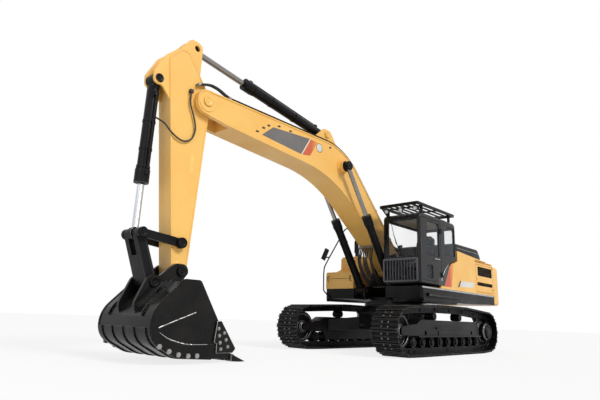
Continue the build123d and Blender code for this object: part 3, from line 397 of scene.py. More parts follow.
def dress(node, material, edge_material, width):
    """Makes a copy of a solid with rounded edges, riding where the solid does."""
    solid = frame["nodes"][node]
    mesh = solid.data.copy()
    mesh.materials.clear()
    mesh.materials.append(material)
    mesh.materials.append(edge_material)
    mesh.polygons.foreach_set("material_index", np.zeros(len(mesh.polygons), np.int32))
    whole_faces(mesh)
    if node in PARTLY:
        other, test = PARTLY[node]
        mesh.materials.append(other)
        found = test(read(mesh.polygons, "center"))
        mesh.polygons.foreach_set("material_index", np.where(found, 2, 0).astype(np.int32))
    piece = shaded(f"{node}_dressed", mesh, CORNER)
    # the strips take material 1, lighter than the face: partly wear, partly a painted highlight
    set_all(piece.modifiers.new("rounding", "BEVEL"), width=width, segments=2, limit_method="ANGLE",
            angle_limit=CORNER, use_clamp_overlap=True, material=1, harden_normals=True)
    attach(piece, solid["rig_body"])
    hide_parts(node)


CORNER = radians(30)  # a sharper bend than this is an edge
EDGE_WIDTH = 0.006  # of the rounded strip, where FINE says nothing else
EYE_RADIUS, EYE_REACH = 0.1, 0.15  # of every cylinder's eye, and of its paint
RODS = ("boom_left_rod", "boom_right_rod", "arm_rod", "bucket_rod")
SLOTS = {part["node"]: part["material_slot"] for part in frame["record"]["subparts"]}
FINISHES = {
    "yellow_paint": (YELLOW, YELLOW_WEAR_AND_HIGHLIGHT), "black_paint": (BLACK, BLACK_WEAR_AND_HIGHLIGHT), "cab_grey": (GREY, GREY_WEAR_AND_HIGHLIGHT),
    "worn_steel": (STEEL, STEEL_EDGE), "track_steel": (TRACK, TRACK_WEAR_AND_HIGHLIGHT), "chrome_rod": (CHROME, CHROME),
    "pin_steel": (PIN_STEEL, PIN_STEEL), "engine_grey": (ENGINE, ENGINE), "rubber": (RUBBER, RUBBER),
}
OWN_FINISH = {  # nodes painted otherwise than their slot
    # the front grille is all in the cab's lighter edge grey
    "bucket_shell": (BUCKET, BUCKET_WEAR_AND_HIGHLIGHT), "front_grille": (GREY_WEAR_AND_HIGHLIGHT, GREY_WEAR_AND_HIGHLIGHT),
    "boom_pipes": (BLACK, BLACK_WEAR_AND_HIGHLIGHT),
    **{rod: (ROD, ROD) for rod in RODS[:3]},
    "bucket_teeth": (BUCKET, STEEL_EDGE), "side_cutters": (BUCKET, STEEL_EDGE),
}
DOOR_SHEET = 1.4865  # just inside the outer face of a side door
BUTTON_FACE = 0.727  # past this, the bucket's side is a wear button


def in_louvre_shade(middle):
    """Faces of a side door that lie in its air slots, set back from the sheet in one of the three panels; they
    are painted black as painted shade inside the slots.
    """
    along, high = middle[:, 1], middle[:, 2]
    back = np.abs(middle[:, 0]) < DOOR_SHEET
    panels = [(1.60, 2.62, 1.88, 2.17), (1.56, 2.62, 1.63, 1.77), (1.46, 2.56, 2.215, 2.32)]
    return back & np.any([(along > a) & (along < b) & (high > c) & (high < d)
                          for a, b, c, d in panels], axis=0)


def near(place, reach):
    """Faces within reach of a point, sideways left out: the eye at a rod's end."""
    return lambda middle: np.hypot(middle[:, 1] - place[0], middle[:, 2] - place[1]) < reach


def rod_eye(node, up=True):
    """(y, z) of the eye at a rod's far end: one eye radius in from the front corner of the rod's box."""
    low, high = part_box(node)
    return low[1] + EYE_RADIUS, high[2] - EYE_RADIUS if up else low[2] + EYE_RADIUS


PARTLY = {  # nodes with a second finish, and the test that finds its faces
    # the side doors' set-back slot faces are painted black: painted shade inside the air slots
    "side_door_left": (BLACK, in_louvre_shade), "side_door_right": (BLACK, in_louvre_shade),
    "bucket_shell": (STEEL_EDGE, lambda middle: np.abs(middle[:, 0]) > BUTTON_FACE),
    **{rod: (BLACK, near(rod_eye(rod, rod != "bucket_rod"), EYE_REACH)) for rod in RODS},
}
FINE = {"arm_hose": 0.001, "bucket_shell": 0.008, "boom_pipes": 0.002, "handrails": 0.003, "cab_guard": 0.004,
        "front_grille": 0.003}
KEPT = {"glass": GLASS}  # solids that stay as they are, with a new finish only
for node, solid in frame["nodes"].items():
    slot = SLOTS[node]
    if slot in KEPT:
        solid.data.materials.clear()
        solid.data.materials.append(KEPT[slot])
    elif node != "seat":
        paint_and_edge = OWN_FINISH.get(node) or FINISHES.get(slot, (BLACK, BLACK_WEAR_AND_HIGHLIGHT))
        dress(node, *paint_and_edge, FINE.get(node, EDGE_WIDTH))


# %% [markdown]
# ## A kit of surfaces
# Hoses, bolts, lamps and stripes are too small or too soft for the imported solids. Each is a grid of points
# worked out as one array: a profile turned about an axis, or a ring carried along a path. numpy does the
# whole grid in one step, which is quicker than placing corners one by one and keeps the formula in sight.


# %% Surface kit
def unit(vector):
    vector = np.asarray(vector, float)
    return vector / np.linalg.norm(vector, axis=-1, keepdims=True)


def ring_faces(rings, sides):
    """Quads between neighbouring rings, closed round the seam, and one whole face at each end."""
    ring, side = np.meshgrid(np.arange(rings - 1), np.arange(sides), indexing="ij")
    here, beside = ring * sides + side, ring * sides + (side + 1) % sides
    quads = np.stack([here, beside, beside + sides, here + sides], -1).reshape(-1, 4)
    return [*quads.tolist(), list(range(sides))[::-1], list(range((rings - 1) * sides, rings * sides))]


def turned(rows, sides=24):
    """A profile of (height, radius) turned about +Z: (radius cos a, radius sin a, height) for every a."""
    rows = np.asarray(rows, float)
    angle = np.arange(sides) * 2 * pi / sides
    x, y = rows[:, 1, None] * np.cos(angle), rows[:, 1, None] * np.sin(angle)
    points = np.stack([x, y, np.broadcast_to(rows[:, 0, None], x.shape)], -1)
    return points.reshape(-1, 3), ring_faces(len(rows), sides)


def prism(outline, rows):
    """An (x, y) outline lifted through rows of (height, inset), each drawn in towards the middle by inset."""
    outline, rows = np.asarray(outline, float), np.asarray(rows, float)
    middle = outline.mean(axis=0)
    reach = np.linalg.norm(outline - middle, axis=1, keepdims=True)
    flat = outline[None] - rows[:, 1, None, None] * (outline - middle)[None] / reach[None]
    high = np.broadcast_to(rows[:, 0, None, None], (*flat.shape[:2], 1))
    return np.concatenate([flat, high], -1).reshape(-1, 3), ring_faces(len(rows), len(outline))


def rounded(width, height, radius, steps=5, middle=(0, 0)):
    """Points of a rectangle with round corners: four quarter circles, one after the other."""
    angle = np.linspace(0, pi / 2, steps)[None] + np.arange(4)[:, None] * pi / 2
    side = np.array([(1, 1), (-1, 1), (-1, -1), (1, -1)])[:, None]
    centre = side * (np.array([width, height]) / 2 - radius)
    return (centre + radius * np.stack([np.cos(angle), np.sin(angle)], -1)).reshape(-1, 2) + middle


def smooth(points, steps=8):
    """A Catmull-Rom curve: on each run, half of 2b + (c-a)t + (2a-5b+4c-d)t^2 + (3b-3c+d-a)t^3."""
    p = np.asarray(points, float)
    p = np.vstack([2 * p[0] - p[1], p, 2 * p[-1] - p[-2]])
    a, b, c, d = p[:-3, None], p[1:-2, None], p[2:-1, None], p[3:, None]
    t = (np.arange(steps) / steps)[None, :, None]
    curve = 0.5 * (2 * b + (c - a) * t + (2 * a - 5 * b + 4 * c - d) * t**2 + (3 * b - 3 * c + d - a) * t**3)
    return np.vstack([curve.reshape(-1, 3), p[-2]])


def tube(path, radius, sides=10):
    """A circle carried along a path: path + radius (across cos a + up sin a), both square to the heading."""
    path = np.asarray(path, float)
    heading = unit(np.gradient(path, axis=0))
    reference = np.eye(3)[np.abs(heading).mean(axis=0).argmin()]    # the axis that the path follows least
    across = unit(np.cross(reference, heading))[:, None]
    up = np.cross(heading, across[:, 0])[:, None]
    angle = (np.arange(sides) * 2 * pi / sides)[None, :, None]
    thick = np.broadcast_to(np.asarray(radius, float), (len(path),))[:, None, None]
    points = path[:, None] + thick * (across * np.cos(angle) + up * np.sin(angle))
    return points.reshape(-1, 3), ring_faces(len(path), sides)


def stood(shape, place, z_axis=(0, 0, 1), x_axis=(1, 0, 0)):
    """Stands a shape at a place with its +Z along z_axis and its +X as near x_axis as can be."""
    z = unit(z_axis)
    x = unit(np.asarray(x_axis, float) - np.dot(x_axis, z) * z)
    return shape[0] @ np.array([x, np.cross(z, x), z]) + np.asarray(place, float), shape[1]


def rod(points, radius, sides=10):
    """A round bar bent smoothly through some points."""
    return tube(smooth(points), radius, sides)


def slab(width, depth, radius, rows, *stand, steps=5):
    """A prism over a rounded rectangle, stood where it belongs."""
    return stood(prism(rounded(width, depth, radius, steps), rows), *stand)


def on_side(shape, x, y=0, z=0):
    """Stands an outline drawn in (y, z) on the machine's left: its +Z points out along +X."""
    return stood(shape, (x, y, z), (1, 0, 0), (0, 1, 0))


def joined(shapes):
    """Several shapes as one: each one's faces count on from the points before it."""
    starts = np.cumsum([0] + [len(points) for points, _ in shapes[:-1]])
    faces = [[corner + int(start) for corner in face]
             for (_, rows), start in zip(shapes, starts) for face in rows]
    return np.vstack([points for points, _ in shapes]), faces


def mirrored(shape):
    """The same shape on the other side of the machine's middle, its faces turned back to face outwards."""
    return shape[0] * (-1, 1, 1), [face[::-1] for face in shape[1]]


def both(shape):
    return joined([shape, mirrored(shape)])


def add(name, shape, material, body):
    """Makes a shape a piece of the machine: a mesh that rides on a body and takes the finish it is given."""
    points, faces = shape
    mesh = bpy.data.meshes.new(name)
    mesh.from_pydata(points.tolist(), [], faces)
    mesh.materials.append(material)
    piece = shaded(name, mesh, radians(35))
    if body:                    # a piece with no body, one that crosses a joint, stays where it is placed
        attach(piece, body)
    return piece


PIVOT = {joint["name"]: np.array(joint["pos_m"]) for joint in frame["joints"] if joint.get("pos_m")}
BOXES = {node: np.array([tuple(corner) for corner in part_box(node)]) for node in frame["nodes"]}
print("pivots:", len(PIVOT), "bolt check:", turned([(0, 1), (1, 1)], 6)[0].shape)

# %% [markdown]
# ## Bolts on the track shoes
# Every shoe is held to the two rails of the chain by four bolts. The shoes' corners can be read from the
# packed track itself: they are the only points that its outer face and its rails share. In order round the
# loop, they give each shoe's heading and facing, and one small hexagon is copied to every bolt hole at once.


# %% Track bolts and chain pins
def bolt(radius):
    """A hexagon head on its washer."""
    rows = [(0, 1.45), (0.25, 1.45), (0.3, 1.0), (0.95, 1.0), (1.1, 0.8)]
    return turned(np.array(rows) * radius, 6)


def copies(shape, places, z_axes, x_axes):
    """One shape stood at many places: the axes of each place times the points, as one product. Axes are given
    as a row for each place, or as one for all."""
    places = np.asarray(places, float)
    z, x = unit(np.broadcast_to(z_axes, places.shape)), np.broadcast_to(x_axes, places.shape)
    x = unit(x - (x * z).sum(-1, keepdims=True) * z)
    points = np.einsum("pk,nkc->npc", shape[0], np.stack([x, np.cross(z, x), z], 1)) + places[:, None]
    starts = np.arange(len(places)) * len(shape[0])
    faces = [[corner + int(start) for corner in face] for start in starts for face in shape[1]]
    return points.reshape(-1, 3), faces


def at_x(x, rows):
    """Rows of (y, z) as rows of (x, y, z)."""
    return np.column_stack([np.full(len(rows), float(x)), rows])


def shoe_corners(node):
    """(y, z) of the corners between shoes, in order round the track."""
    points = read(frame["nodes"][node].data.vertices, "co").round(4)
    low, high = BOXES[node]
    middle = (low[0] + high[0]) / 2
    outer, rails = ({tuple(p) for p in points[np.abs(points[:, 0] - x) < 2e-4][:, 1:].tolist()}
                    for x in (high[0], middle + RAIL))
    shared = np.array(sorted(outer & rails))
    centre = shared.mean(axis=0)
    return shared[np.argsort(np.arctan2(shared[:, 1] - centre[1], shared[:, 0] - centre[0]))], middle


RAIL = 0.1  # outer face of a chain's rail, from the chain's middle
SHOE_PLATE = 0.013
PIN_DEPTH = 0.06  # of the chain's pins under the shoes
BOLTS_ACROSS, BOLTS_ALONG = (-0.072, 0.072), (0.3, 0.71)  # from the chain's middle, and in shares of a shoe
PIN_END = [(0, 0.034), (0.012, 0.034), (0.014, 0.030), (0.010, 0.020), (0.010, 0.012)]
for word in ("left", "right"):
    corners, middle = shoe_corners(f"track_{word}")
    ahead = np.roll(corners, -1, axis=0) - corners
    out = unit(np.stack([ahead[:, 1], -ahead[:, 0]], -1))
    places = [at_x(middle + x, corners + share * ahead + out * SHOE_PLATE)
              for x in BOLTS_ACROSS for share in BOLTS_ALONG]
    axes = [np.tile(at_x(0, rows), (len(places), 1)) for rows in (out, unit(ahead))]
    heads = copies(bolt(0.011), np.vstack(places), *axes)
    add(f"shoe_bolts_{word}", heads, TRACK_WEAR_AND_HIGHLIGHT, "undercarriage")
    pins = corners + 0.5 * ahead - out * PIN_DEPTH
    ends = [copies(turned(PIN_END, 12), at_x(middle + side * RAIL - 0.002 * side, pins), (side, 0, 0),
                   (0, 1, 0)) for side in (1, -1)]
    add(f"chain_pins_{word}", joined(ends), TRACK, "undercarriage")
    print(word, "shoes:", len(corners), "pitch:", np.linalg.norm(ahead, axis=1).round(4)[:3])

# %% [markdown]
# ## Caps on the pins
# A pin of this size is kept in its bore by a flange with bolts round it. From outside, that flange and its
# bolts are all one sees of a pivot. A turned profile makes the flange and a ring of copies makes its bolts.


# %% Pin caps
def cap(radius, bolts=4, dish=0.35):
    """A flange with a dished middle and a ring of bolts, standing on z = 0."""
    rows = [(0, 1.0), (0.1, 1.0), (0.16, 0.94), (0.16, 0.5), (0.12, 0.44), (0.12, dish), (0.2, dish - 0.06),
            (0.2, 0.05)]
    angle = np.arange(bolts) * 2 * pi / bolts + 0.4
    places = np.column_stack([np.cos(angle), np.sin(angle), np.full(bolts, 0.22)])
    places = places * radius * (0.72, 0.72, 0.7)
    heads = copies(bolt(radius * 0.085), places, (0, 0, 1), (1, 0, 0))
    return joined([turned(np.array(rows) * radius, 32), heads])


def caps_at(rows):
    """Caps on both ends of pins, from rows of (pivot, half length, cap radius)."""
    return joined([both(on_side(cap(radius), half, *pivot[1:])) for pivot, half, radius in rows])


ARM_FOOT = np.array([0, -2.95, 4.65])  # where the arm cylinder stands on the boom
LINK_TOP = np.array([0, *rod_eye("bucket_rod", up=False)])
BOOM_ROD_EYE = np.array([0, *rod_eye("boom_left_rod")])
END = {node: BOXES[node][1][0] for node in ("boom_pins", "arm_pins", "bucket_pin", "rockers", "boom")}
for name, body, material, rows in (
    ("boom", "boom", YELLOW, [(PIVOT["arm_curl"], END["boom_pins"], 0.088), (ARM_FOOT, 0.166, 0.075)]),
    ("boom_eye", "boom", BLACK, [(BOOM_ROD_EYE, END["boom"] - 0.002, 0.118)]),
    ("arm", "arm", BLACK, [(PIVOT["bucket_curl"], END["arm_pins"], 0.082),
                           (PIVOT["rocker_swing"], END["arm_pins"], 0.082),
                           (PIVOT["bucket_barrel_swing"], 0.158, 0.07)]),
    ("bucket", "bucket", BUCKET, [(PIVOT["power_link_swing"], END["bucket_pin"], 0.08)]),
    ("rockers", "rockers", BLACK, [(LINK_TOP, END["rockers"], 0.078)]),
    ("house", "house", BLACK, [(PIVOT["boom_raise"], 0.343, 0.1),
                               (PIVOT["boom_left_barrel_swing"], 0.583, 0.08)]),
):
    slot = "yellow_paint" if material is YELLOW else "black_paint"
    add(f"pin_caps_{name}", caps_at(rows), material, body)

# %% [markdown]
# ## Stripes, bands and blank plates
# A working machine carries stuck-on film: a grey band across the boom, a warm stripe that fades into the
# yellow, and pale plates where a maker would put its words. Here the plates stay empty. Film could be painted
# in the material, but a thin real plate keeps a crisp edge at any distance and catches the light at its rim,
# so each one is an outline lifted by a millimetre or two. The boom and arm carry it on both sides, and the
# house on its left only: the tank on its right has another face, so nothing but the line along the deck goes
# there. That silver line is a painted highlight, a bright strip where the deck's edge catches the light.


# %% Film and plates
FILM, PLATE = 0.0012, 0.0016  # how proud a film and a blank plate stand
BOOM_SIDE, HOUSE_SIDE, ARM_SIDE = 0.268, 1.488, 0.162


def film(outline, x, proud=FILM):
    """A thin plate on the machine's left side, from an outline of (y, z) corners."""
    points = np.asarray(outline, float)
    ahead = np.roll(points, -1, axis=0)
    if (points[:, 0] * ahead[:, 1] - ahead[:, 0] * points[:, 1]).sum() < 0:
        points = points[::-1]
    return on_side(prism(points, [(-0.002, 0), (proud * 0.7, 0), (proud, proud * 0.4)]), x)


def disc(y, z, radius, x, proud=FILM):
    """A thin round plate on the machine's left side."""
    return on_side(turned([(-0.002, radius), (proud * 0.7, radius), (proud, radius - proud)], 40), x, y, z)


def fading(name, first, second, start, end, gloss=0.4):
    """Film whose colour goes from first to second between two places along the machine."""
    finish = Finish(name, roughness=gloss)
    grain = finish.noise(60, 4)
    ragged = finish.maths("ADD", finish.along(1), finish.ramp(grain, 0.3, 0.7, -0.012, 0.012))
    share = finish.ramp(ragged, start, end)
    dirt = finish.ramp(finish.noise(4, 5, 0.65), 0.45, 0.7, 0.0, 0.16)
    return finish.done(finish.mix(dirt, finish.mix(share, first, second), DUST), None, grain, 0.08)


GREY_FILM = paint("grey_film", rgb(104, 100, 98), rgb(92, 89, 88), 0.42, dust=0.1, scratch=0.2)
WHITE_FILM = paint("white_film", rgb(214, 212, 205), rgb(200, 198, 190), 0.42, dust=0.12, scratch=0.1)
DARK_FILM = paint("dark_film", rgb(24, 22, 23), rgb(34, 31, 31), 0.35, dust=0.12, scratch=0.12)
SILVER_FILM = metal("silver_film", rgb(176, 176, 178), rgb(120, 118, 116), 0.35, 0.3, 5, 0.5, 0.1)
BOOM_STRIPE = fading("boom_stripe", rgb(196, 84, 42), rgb(226, 150, 66), -3.60, -3.40)
HOUSE_STRIPE = fading("house_stripe", rgb(196, 72, 40), rgb(226, 160, 70), 0.02, 0.24)

BOOM_BAND = [(-4.719, 4.223), (-3.655, 4.308), (-3.904, 3.907), (-5.006, 3.982)]
BOOM_THIN = [(-3.650, 4.308), (-3.626, 4.308), (-3.876, 3.907), (-3.899, 3.907)]
BOOM_RED = [(-3.620, 4.305), (-3.404, 4.304), (-3.629, 3.949), (-3.866, 3.908)]
SIGN_MARKS = [(-5.125, 4.013), (-4.972, 4.130), (-4.842, 4.218), (-4.566, 4.290), (-4.239, 4.293),
              (-2.977, 4.310)]
SLANTED = np.array([(-0.045, -0.022), (0.030, -0.018), (0.048, 0.022), (-0.026, 0.018)])
SIGN = (-3.34, 4.20)  # middle of the round plate
for name, shape, material in (
    ("band", film(BOOM_BAND, BOOM_SIDE), GREY_FILM),
    ("line", film(BOOM_THIN, BOOM_SIDE, PLATE), WHITE_FILM),
    ("stripe", film(BOOM_RED, BOOM_SIDE), BOOM_STRIPE),
    ("sign_ring", disc(*SIGN, 0.100, BOOM_SIDE), DARK_FILM),
    ("sign", disc(*SIGN, 0.088, BOOM_SIDE, 0.0018), WHITE_FILM),
    ("marks", joined([film(SLANTED + place, BOOM_SIDE) for place in SIGN_MARKS]), DARK_FILM),
):
    add(f"boom_{name}", both(shape), material, "boom")
# the label is in the pale yellow of the edge strips
label = rounded(0.055, 0.30, 0.012, middle=(-6.415, 3.06))
add("arm_label", both(film(label, ARM_SIDE)), YELLOW_WEAR_AND_HIGHLIGHT, "arm")

FRONT_PANEL = [(-0.052, 1.965), (-0.425, 1.803), (-0.470, 1.740), (-0.559, 1.543), (-0.540, 1.512),
               (-0.236, 1.500), (0.070, 2.010)]
FADE_STRIPE = [(0.098, 2.036), (0.273, 2.092), (0.118, 1.505), (-0.225, 1.500)]
BLANK_PLATE = [(0.647, 1.690), (1.395, 1.707), (1.330, 1.574), (0.545, 1.545)]
PLATE_EDGE = [(0.440, 1.527), (0.582, 1.693), (0.640, 1.690), (0.535, 1.542), (0.512, 1.529)]
# a silver strip along the deck's outer edge on both sides: a painted highlight of that edge
DECK_SIDE = 1.490  # outer face of the deck
DECK_FRONTS = (-1.29, -0.80)  # where its line begins on the left and on the right
LINE_LOW, LINE_HIGH, LINE_END = 1.408, 1.440, 2.62
deck_left, deck_right = (film([(front, LINE_LOW), (LINE_END, LINE_LOW), (LINE_END, LINE_HIGH),
                               (front, LINE_HIGH)], DECK_SIDE, 0.002) for front in DECK_FRONTS)
add("front_panel", film(FRONT_PANEL, HOUSE_SIDE), DARK_FILM, "house")
add("house_stripe", film(FADE_STRIPE, HOUSE_SIDE), HOUSE_STRIPE, "house")
add("blank_plate", film(BLANK_PLATE, HOUSE_SIDE, PLATE), WHITE_FILM, "house")
add("plate_edge", film(PLATE_EDGE, HOUSE_SIDE), DARK_FILM, "house")
add("deck_line", joined([deck_left, mirrored(deck_right)]), SILVER_FILM, "house")
print("films:", sum("film" in m.name or "stripe" in m.name for m in bpy.data.materials), "finishes")

# %% [markdown]
# ## The driver's seat
# The seat is foam under cloth: it swells between its seams, is pulled in where the seams run, and is flat
# only where it rests on its pan. A cloth simulation would give that too, but a cushion this far behind glass
# needs only its form, so it is worked out: a rounded box made of powers, crowned, with sewn channels pressed
# in.


# %% Seat cushions
def pillow(width, depth, thick, power=4.0, channels=(), press=0.16, piping=0.006, sides=96):
    """Rings of a rounded box: at height h (-1 to 1) a ring is drawn in by (1 - |h|^power)^(1/power). Each is
    a superellipse of that power, and the top sinks by a bell curve along every sewn channel."""
    out = np.linspace(0.03, 0.86, 16)
    top = (1 - out**power) ** (1 / power)
    side = np.linspace(top[-1], -top[-1], 23)[1:-1]
    reach = np.concatenate([out, (1 - np.abs(side) ** power) ** (1 / power), out[::-1]])
    high = np.concatenate([-top, -side, top[::-1]])
    angle = np.arange(sides) * 2 * pi / sides
    swell = 1 + piping * 2 / min(width, depth) * np.exp(-((high / 0.07) ** 2))
    x, y = (size / 2 * (reach * swell)[:, None] * (np.sign(wave) * np.abs(wave) ** (2 / power))[None]
            for size, wave in ((width, np.cos(angle)), (depth, np.sin(angle))))
    z = np.broadcast_to(thick / 2 * high[:, None], x.shape).copy()
    crown = (1 - (2 * x / width) ** 2) * (1 - (2 * y / depth) ** 2)
    sunk = sum((np.exp(-(((y - place) / 0.012) ** 2)) for place in channels), np.zeros_like(y))
    z += np.where(z > 0, thick * (0.10 * crown - press * sunk), 0)
    return np.stack([x, y, z], -1).reshape(-1, 3), ring_faces(len(high), sides)


def seat_cloth():
    """Woven cloth: two crossed waves of yarn, a drift of wear, and a soft sheen."""
    finish = Finish("seat_cloth", roughness=0.85)
    finish.shader.inputs["Sheen Weight"].default_value = 0.3
    yarn = [finish.node("TexWave", {"Vector": finish.place, "Scale": 160.0, "Distortion": 0.6},
                        output=1, bands_direction=direction) for direction in ("X", "Z")]
    weave = finish.maths("MULTIPLY", *yarn)
    worn = finish.ramp(finish.noise(7, 4), 0.4, 0.7)
    colour = finish.mix(worn, rgb(38, 38, 41), rgb(60, 59, 60))
    colour = finish.mix(finish.ramp(weave, 0, 1, 0, 0.3), colour, rgb(88, 86, 86))
    return finish.done(colour, None, weave, 0.35)


CLOTH = seat_cloth()
SEAT_X = BOXES["seat"][:, 0].mean()
LEAN = 0.14  # of the seat's back, for each metre up
base = stood(pillow(0.485, 0.50, 0.125, channels=(-0.13, 0.0, 0.13)), (SEAT_X, -0.565, 1.966))
rest = pillow(0.44, 0.64, 0.125, channels=(-0.2, -0.07, 0.06, 0.19))
rest = stood(rest, (SEAT_X, -0.255, 2.37), (0, -1, LEAN))
cushions = [add(name, shape, CLOTH, "house")
            for name, shape in (("seat_cushion", base), ("seat_back", rest))]
for piece in cushions:
    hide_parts("seat")
add("seat_pan", joined([
    slab(0.47, 0.50, 0.06, [(0, 0.02), (0.03, 0), (0.045, 0.01)], (SEAT_X, -0.56, 1.865)),
    slab(0.40, 0.42, 0.04, [(0, 0), (0.30, 0.0), (0.34, 0.06)], (SEAT_X, -0.55, 1.53)),
    slab(0.42, 0.62, 0.09, [(0, 0.02), (0.015, 0), (0.03, 0.03)], (SEAT_X, -0.205, 2.355), (0, 1, -LEAN),
         (-1, 0, 0)),
]), GREY, "house")


def console(x):
    """An arm box beside the seat: a rounded body, with a lever in its boot at the front."""
    body = slab(0.11, 0.60, 0.035, [(0, 0.01), (0.02, 0), (0.42, 0), (0.45, 0.02)], (x, -0.62, 1.70))
    boot = turned([(0, 0.036), (0.012, 0.034), (0.02, 0.026), (0.032, 0.028), (0.04, 0.02), (0.052, 0.022),
                   (0.06, 0.012)], 20)
    grip = turned([(0, 0.008), (0.05, 0.009), (0.06, 0.019), (0.10, 0.022), (0.14, 0.019), (0.165, 0.024),
                   (0.185, 0.018), (0.19, 0.006)], 20)
    lean = (0, -0.12, 1)
    return joined([body, stood(boot, (x, -0.85, 2.145), lean), stood(grip, (x, -0.857, 2.19), lean)])


add("consoles", joined([console(0.70), console(1.345)]), GREY, "house")
print("seat: cushions", [tuple(round(c, 3) for c in piece.dimensions) for piece in cushions])

# %% [markdown]
# ## Inside the cab
# Through the glass one sees a pale roof lining, a screen on its stalk, two pedals with tall levers and a
# ribbed mat. They are rounded boxes and bent rods, each kept inside the walls of the cab.


# %% Cab interior
LINING = paint("roof_lining", rgb(168, 160, 146), rgb(156, 148, 134), 0.8, dust=0.05, scratch=0.0)
PLASTIC = paint("moulded_plastic", rgb(34, 34, 36), rgb(44, 44, 46), 0.55, dust=0.06, scratch=0.05)
cab = {
    "roof_lining": slab(0.80, 1.50, 0.1, [(0, 0.03), (0.012, 0), (0.03, 0)], (1.03, -0.46, 2.945)),
    "floor_mat": joined([slab(0.74, 0.42, 0.03, [(0, 0), (0.008, 0)], (1.02, -1.03, 1.556))] + [
        slab(0.008, 0.38, 0.003, [(0, 0), (0.004, 0.001)], (1.02 + x, -1.03, 1.5635), steps=2)
        for x in np.linspace(-0.33, 0.33, 45)]),
    "screen": joined([
        rod([(0.70, -1.18, 1.70), (0.70, -1.185, 1.95), (0.705, -1.17, 2.06)], 0.014),
        slab(0.20, 0.15, 0.02, [(0, 0.012), (0.012, 0), (0.03, 0), (0.036, 0.008)], (0.71, -1.165, 2.10),
             (0.45, 1, 0.1), (-1, 0.45, 0))]),
    "pedals": joined([part for x in (0.93, 1.11) for part in (
        slab(0.11, 0.20, 0.02, [(0, 0.004), (0.006, 0), (0.012, 0.002)], (x, -1.10, 1.64), (0, 0.5, 1)),
        rod([(x, -1.11, 1.575), (x, -1.15, 1.72), (x, -1.13, 1.90), (x, -1.08, 2.05)], 0.011),
        stood(turned([(0, 0.012), (0.01, 0.021), (0.09, 0.023), (0.105, 0.014), (0.108, 0.004)], 20),
              (x, -1.09, 2.03), (0, 0.4, 1)))]),
}
for (name, shape), material in zip(cab.items(), (LINING, RUBBER, PLASTIC, PLASTIC)):
    add(name, shape, material, "house")
print("cab pieces:", list(cab))

# %% [markdown]
# ## Hoses across the pivots
# Oil reaches the boom and the arm through hoses that have to bend with the joints. Each one leaves a steel
# fitting on one body, swings out in a slack arc and ends in a fitting on the next.


# %% Hoses
def fitting(place, facing, radius):
    """A hexagon nut and the pressed sleeve behind it, where a hose ends."""
    nut = turned(np.array([(0, 1.15), (0.2, 1.35), (1.2, 1.35), (1.4, 1.15)]) * radius, 6)
    sleeve = turned(np.array([(1.3, 0.8), (1.3, 1.1), (3.0, 1.1), (3.2, 0.85)]) * radius, 16)
    return stood(joined([nut, sleeve]), place, facing)


def hose_run(name, routes, body_a, body_b):
    """Hoses along several routes from body_a to body_b, with a fitting at each end."""
    curves = [smooth(route, 9) for route in routes]
    hoses = add(name, joined([tube(curve, HOSE, 12) for curve in curves]), RUBBER, None)
    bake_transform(hoses)
    for body, tip, inner in ((body_a, 0, 1), (body_b, -1, -2)):
        nuts = [fitting(c[tip], c[inner] - c[tip], HOSE * 1.2) for c in curves]
        add(f"{name}_fittings_{body}", joined(nuts), STEEL_EDGE, body)


HOSE = 0.016  # radius of a hose
FOOT_ROWS = (-0.26, -0.21, -0.16, -0.11, -0.05, 0.01, 0.07, 0.13)
foot_hoses = [[(x, -0.45, 1.50), (1.02 * x, -0.72, 1.55 + 0.02 * (i % 2)),
               (1.04 * x, -1.00 - 0.03 * (i % 3), 1.78), (1.03 * x, -1.15 - 0.03 * (i % 3), 2.06),
               (x, -1.15, 2.29), (x, -1.10, 2.425)] for i, x in enumerate(FOOT_ROWS)]
hose_run("boom_foot_hoses", foot_hoses, "house", "boom")
PIPE_ROWS = (0.200, 0.245, -0.225)
BACK = [(0.34, 1.50), (0.42, 1.80), (0.30, 2.12), (0.02, 2.36), (-0.20, 2.44), (-0.37, 2.475)]
back_hoses = [at_x(x, BACK) for x in PIPE_ROWS]
hose_run("boom_back_hoses", back_hoses, "house", "boom")
tip_hoses = [[(x, -5.765, 4.425), (x, -5.88, 4.452), (x, -6.05, 4.505), (x, -6.22, 4.515),
              (0.97 * x, -6.38, 4.47), (0.93 * x, -6.48, 4.43)] for x in PIPE_ROWS]
hose_run("boom_tip_hoses", tip_hoses, "boom", "arm")
print("hoses:", len(foot_hoses) + len(back_hoses) + len(tip_hoses))

# %% [markdown]
# ## Eyes of the boom cylinders and hubs of the sprockets
# The end of each boom cylinder shows as a black round boss with its bolts, and behind each driving sprocket a
# bolted hub closes the reduction gear. Both are the same turned cap in other sizes, each riding on the body
# whose pin or hub it closes.

# %% Bosses and hubs
EYE_PLATE = BOXES["boom_left_rod"][1][0]
for word, turn in (("left", lambda shape: shape), ("right", mirrored)):
    plate = on_side(cap(0.102, 6, 0.3), EYE_PLATE - 0.001, *BOOM_ROD_EYE[1:])
    add(f"boom_{word}_boss", turn(plate), BLACK, f"boom_{word}_rod")
    low, high = BOXES[f"sprocket_{word}"]
    hub = on_side(cap(0.17, 14, 0.42), max(abs(low[0]), abs(high[0])) - 0.004, *((low + high) / 2)[1:])
    add(f"hub_{word}", turn(hub), BLACK, "undercarriage")
print("boss at x", round(float(EYE_PLATE), 3))

# %% [markdown]
# ## Lamps, handles and trim
# Small fittings give the machine its scale: lamps under the roof guard, a wiper, door handles, grips on the
# tool box, and lenses in the counterweight. Most sit on the face of the solid behind them, found from its
# box.


